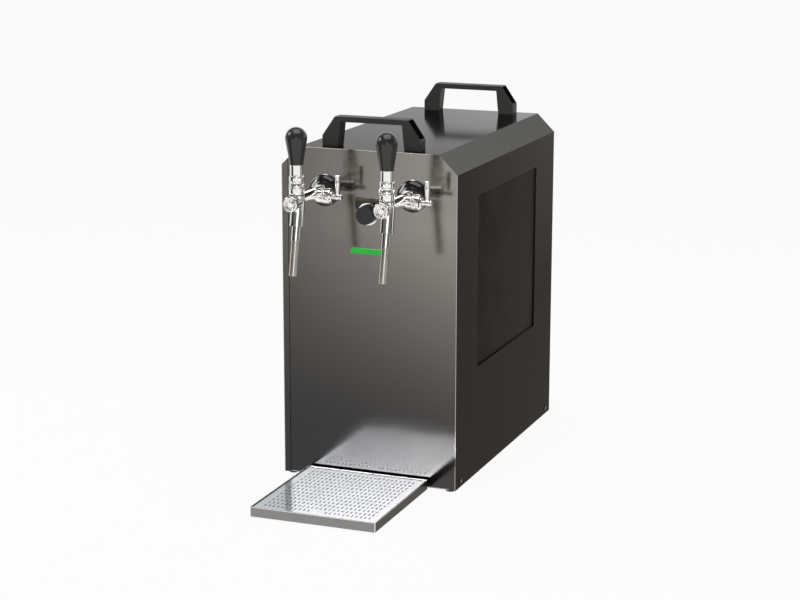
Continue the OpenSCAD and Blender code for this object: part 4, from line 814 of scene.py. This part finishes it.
def lamp(name, place, target, width, height, radiance, receivers=()):
    """A soft rectangular lamp that looks at a target. It lights its receivers, or else everything."""
    data = bpy.data.lights.new(name, "AREA")
    data.shape = "RECTANGLE"
    data.size, data.size_y = width, height
    data.energy = radiance * width * height * math.pi
    item = bpy.data.objects.new(name, data)
    item.location = place
    item.rotation_euler = (Vector(target) - Vector(place)).to_track_quat("-Z", "Y").to_euler()
    bpy.context.scene.collection.objects.link(item)
    if receivers:
        group = bpy.data.collections.new(f"{name}_receivers")
        for piece in receivers:
            group.objects.link(piece)
        item.light_linking.receiver_collection = group


def world(level):
    scene_world = bpy.data.worlds.new("studio")
    bpy.context.scene.world = scene_world
    scene_world.use_nodes = True
    backing = scene_world.node_tree.nodes["Background"]
    backing.inputs["Color"].default_value = (1.0, 1.0, 1.0, 1.0)
    backing.inputs["Strength"].default_value = level


def camera():
    azimuth, elevation, roll = math.radians(21.2154), math.radians(13.0084), math.radians(0.0929)
    data = bpy.data.cameras.new("camera")
    data.sensor_width, data.lens = 36.0, 92.195
    data.clip_end = 100.0
    item = bpy.data.objects.new("camera", data)
    level = math.cos(elevation)
    way = Vector((-math.sin(azimuth) * level, math.cos(azimuth) * level, -math.sin(elevation)))
    item.location = (1.1240, -2.9068, 0.9758)
    item.rotation_mode = "QUATERNION"
    item.rotation_quaternion = way.to_track_quat("-Z", "Y") @ Matrix.Rotation(roll, 3, "Z").to_quaternion()
    bpy.context.scene.collection.objects.link(item)
    bpy.context.scene.camera = item


stage_sheet()
dark_card("left_card", -77.0, -38.0, 0.90, 0.56)
dark_card("right_card", 88.0, 106.0, 0.62, 0.56)
dark_card("rear_card", 118.0, 146.0, 0.62, 0.56)
world(0.16)
mirrors = [frame["nodes"]["front_panel"], bpy.data.objects["drip_grid_plate"]]
rosettes = [bpy.data.objects["rosettes_turned"]]
lamp("grid_lamp_high", (-1.30, -3.10, 1.30), (0.0, -0.2, 0.1), 0.90, 0.45, 68.0, mirrors)
lamp("grid_lamp_low", (-1.15, -3.10, 0.90), (0.0, -0.2, 0.1), 0.80, 0.35, 5.0, mirrors)
lamp("front_lamp", (1.70, -4.20, 1.00), (0.0, -0.2, 0.4), 2.2, 1.3, 1.6)
lamp("top_lamp", (0.2, -0.3, 2.7), (0.0, 0.0, 0.2), 2.2, 2.2, 2.6)
lamp("window_lamp_near", (-1.95, -0.95, 1.75), (0.0, -0.2, 0.4), 0.22, 0.8, 14.0)
lamp("window_lamp_far", (-2.05, -0.50, 1.75), (0.0, -0.2, 0.4), 0.22, 0.8, 14.0)
lamp("rosette_lamp", (-1.90, -0.75, 0.90), (0.0, -0.15, 0.45), 1.8, 1.0, 9.0, rosettes)
camera()

bpy.context.scene.view_settings.view_transform = "Standard"
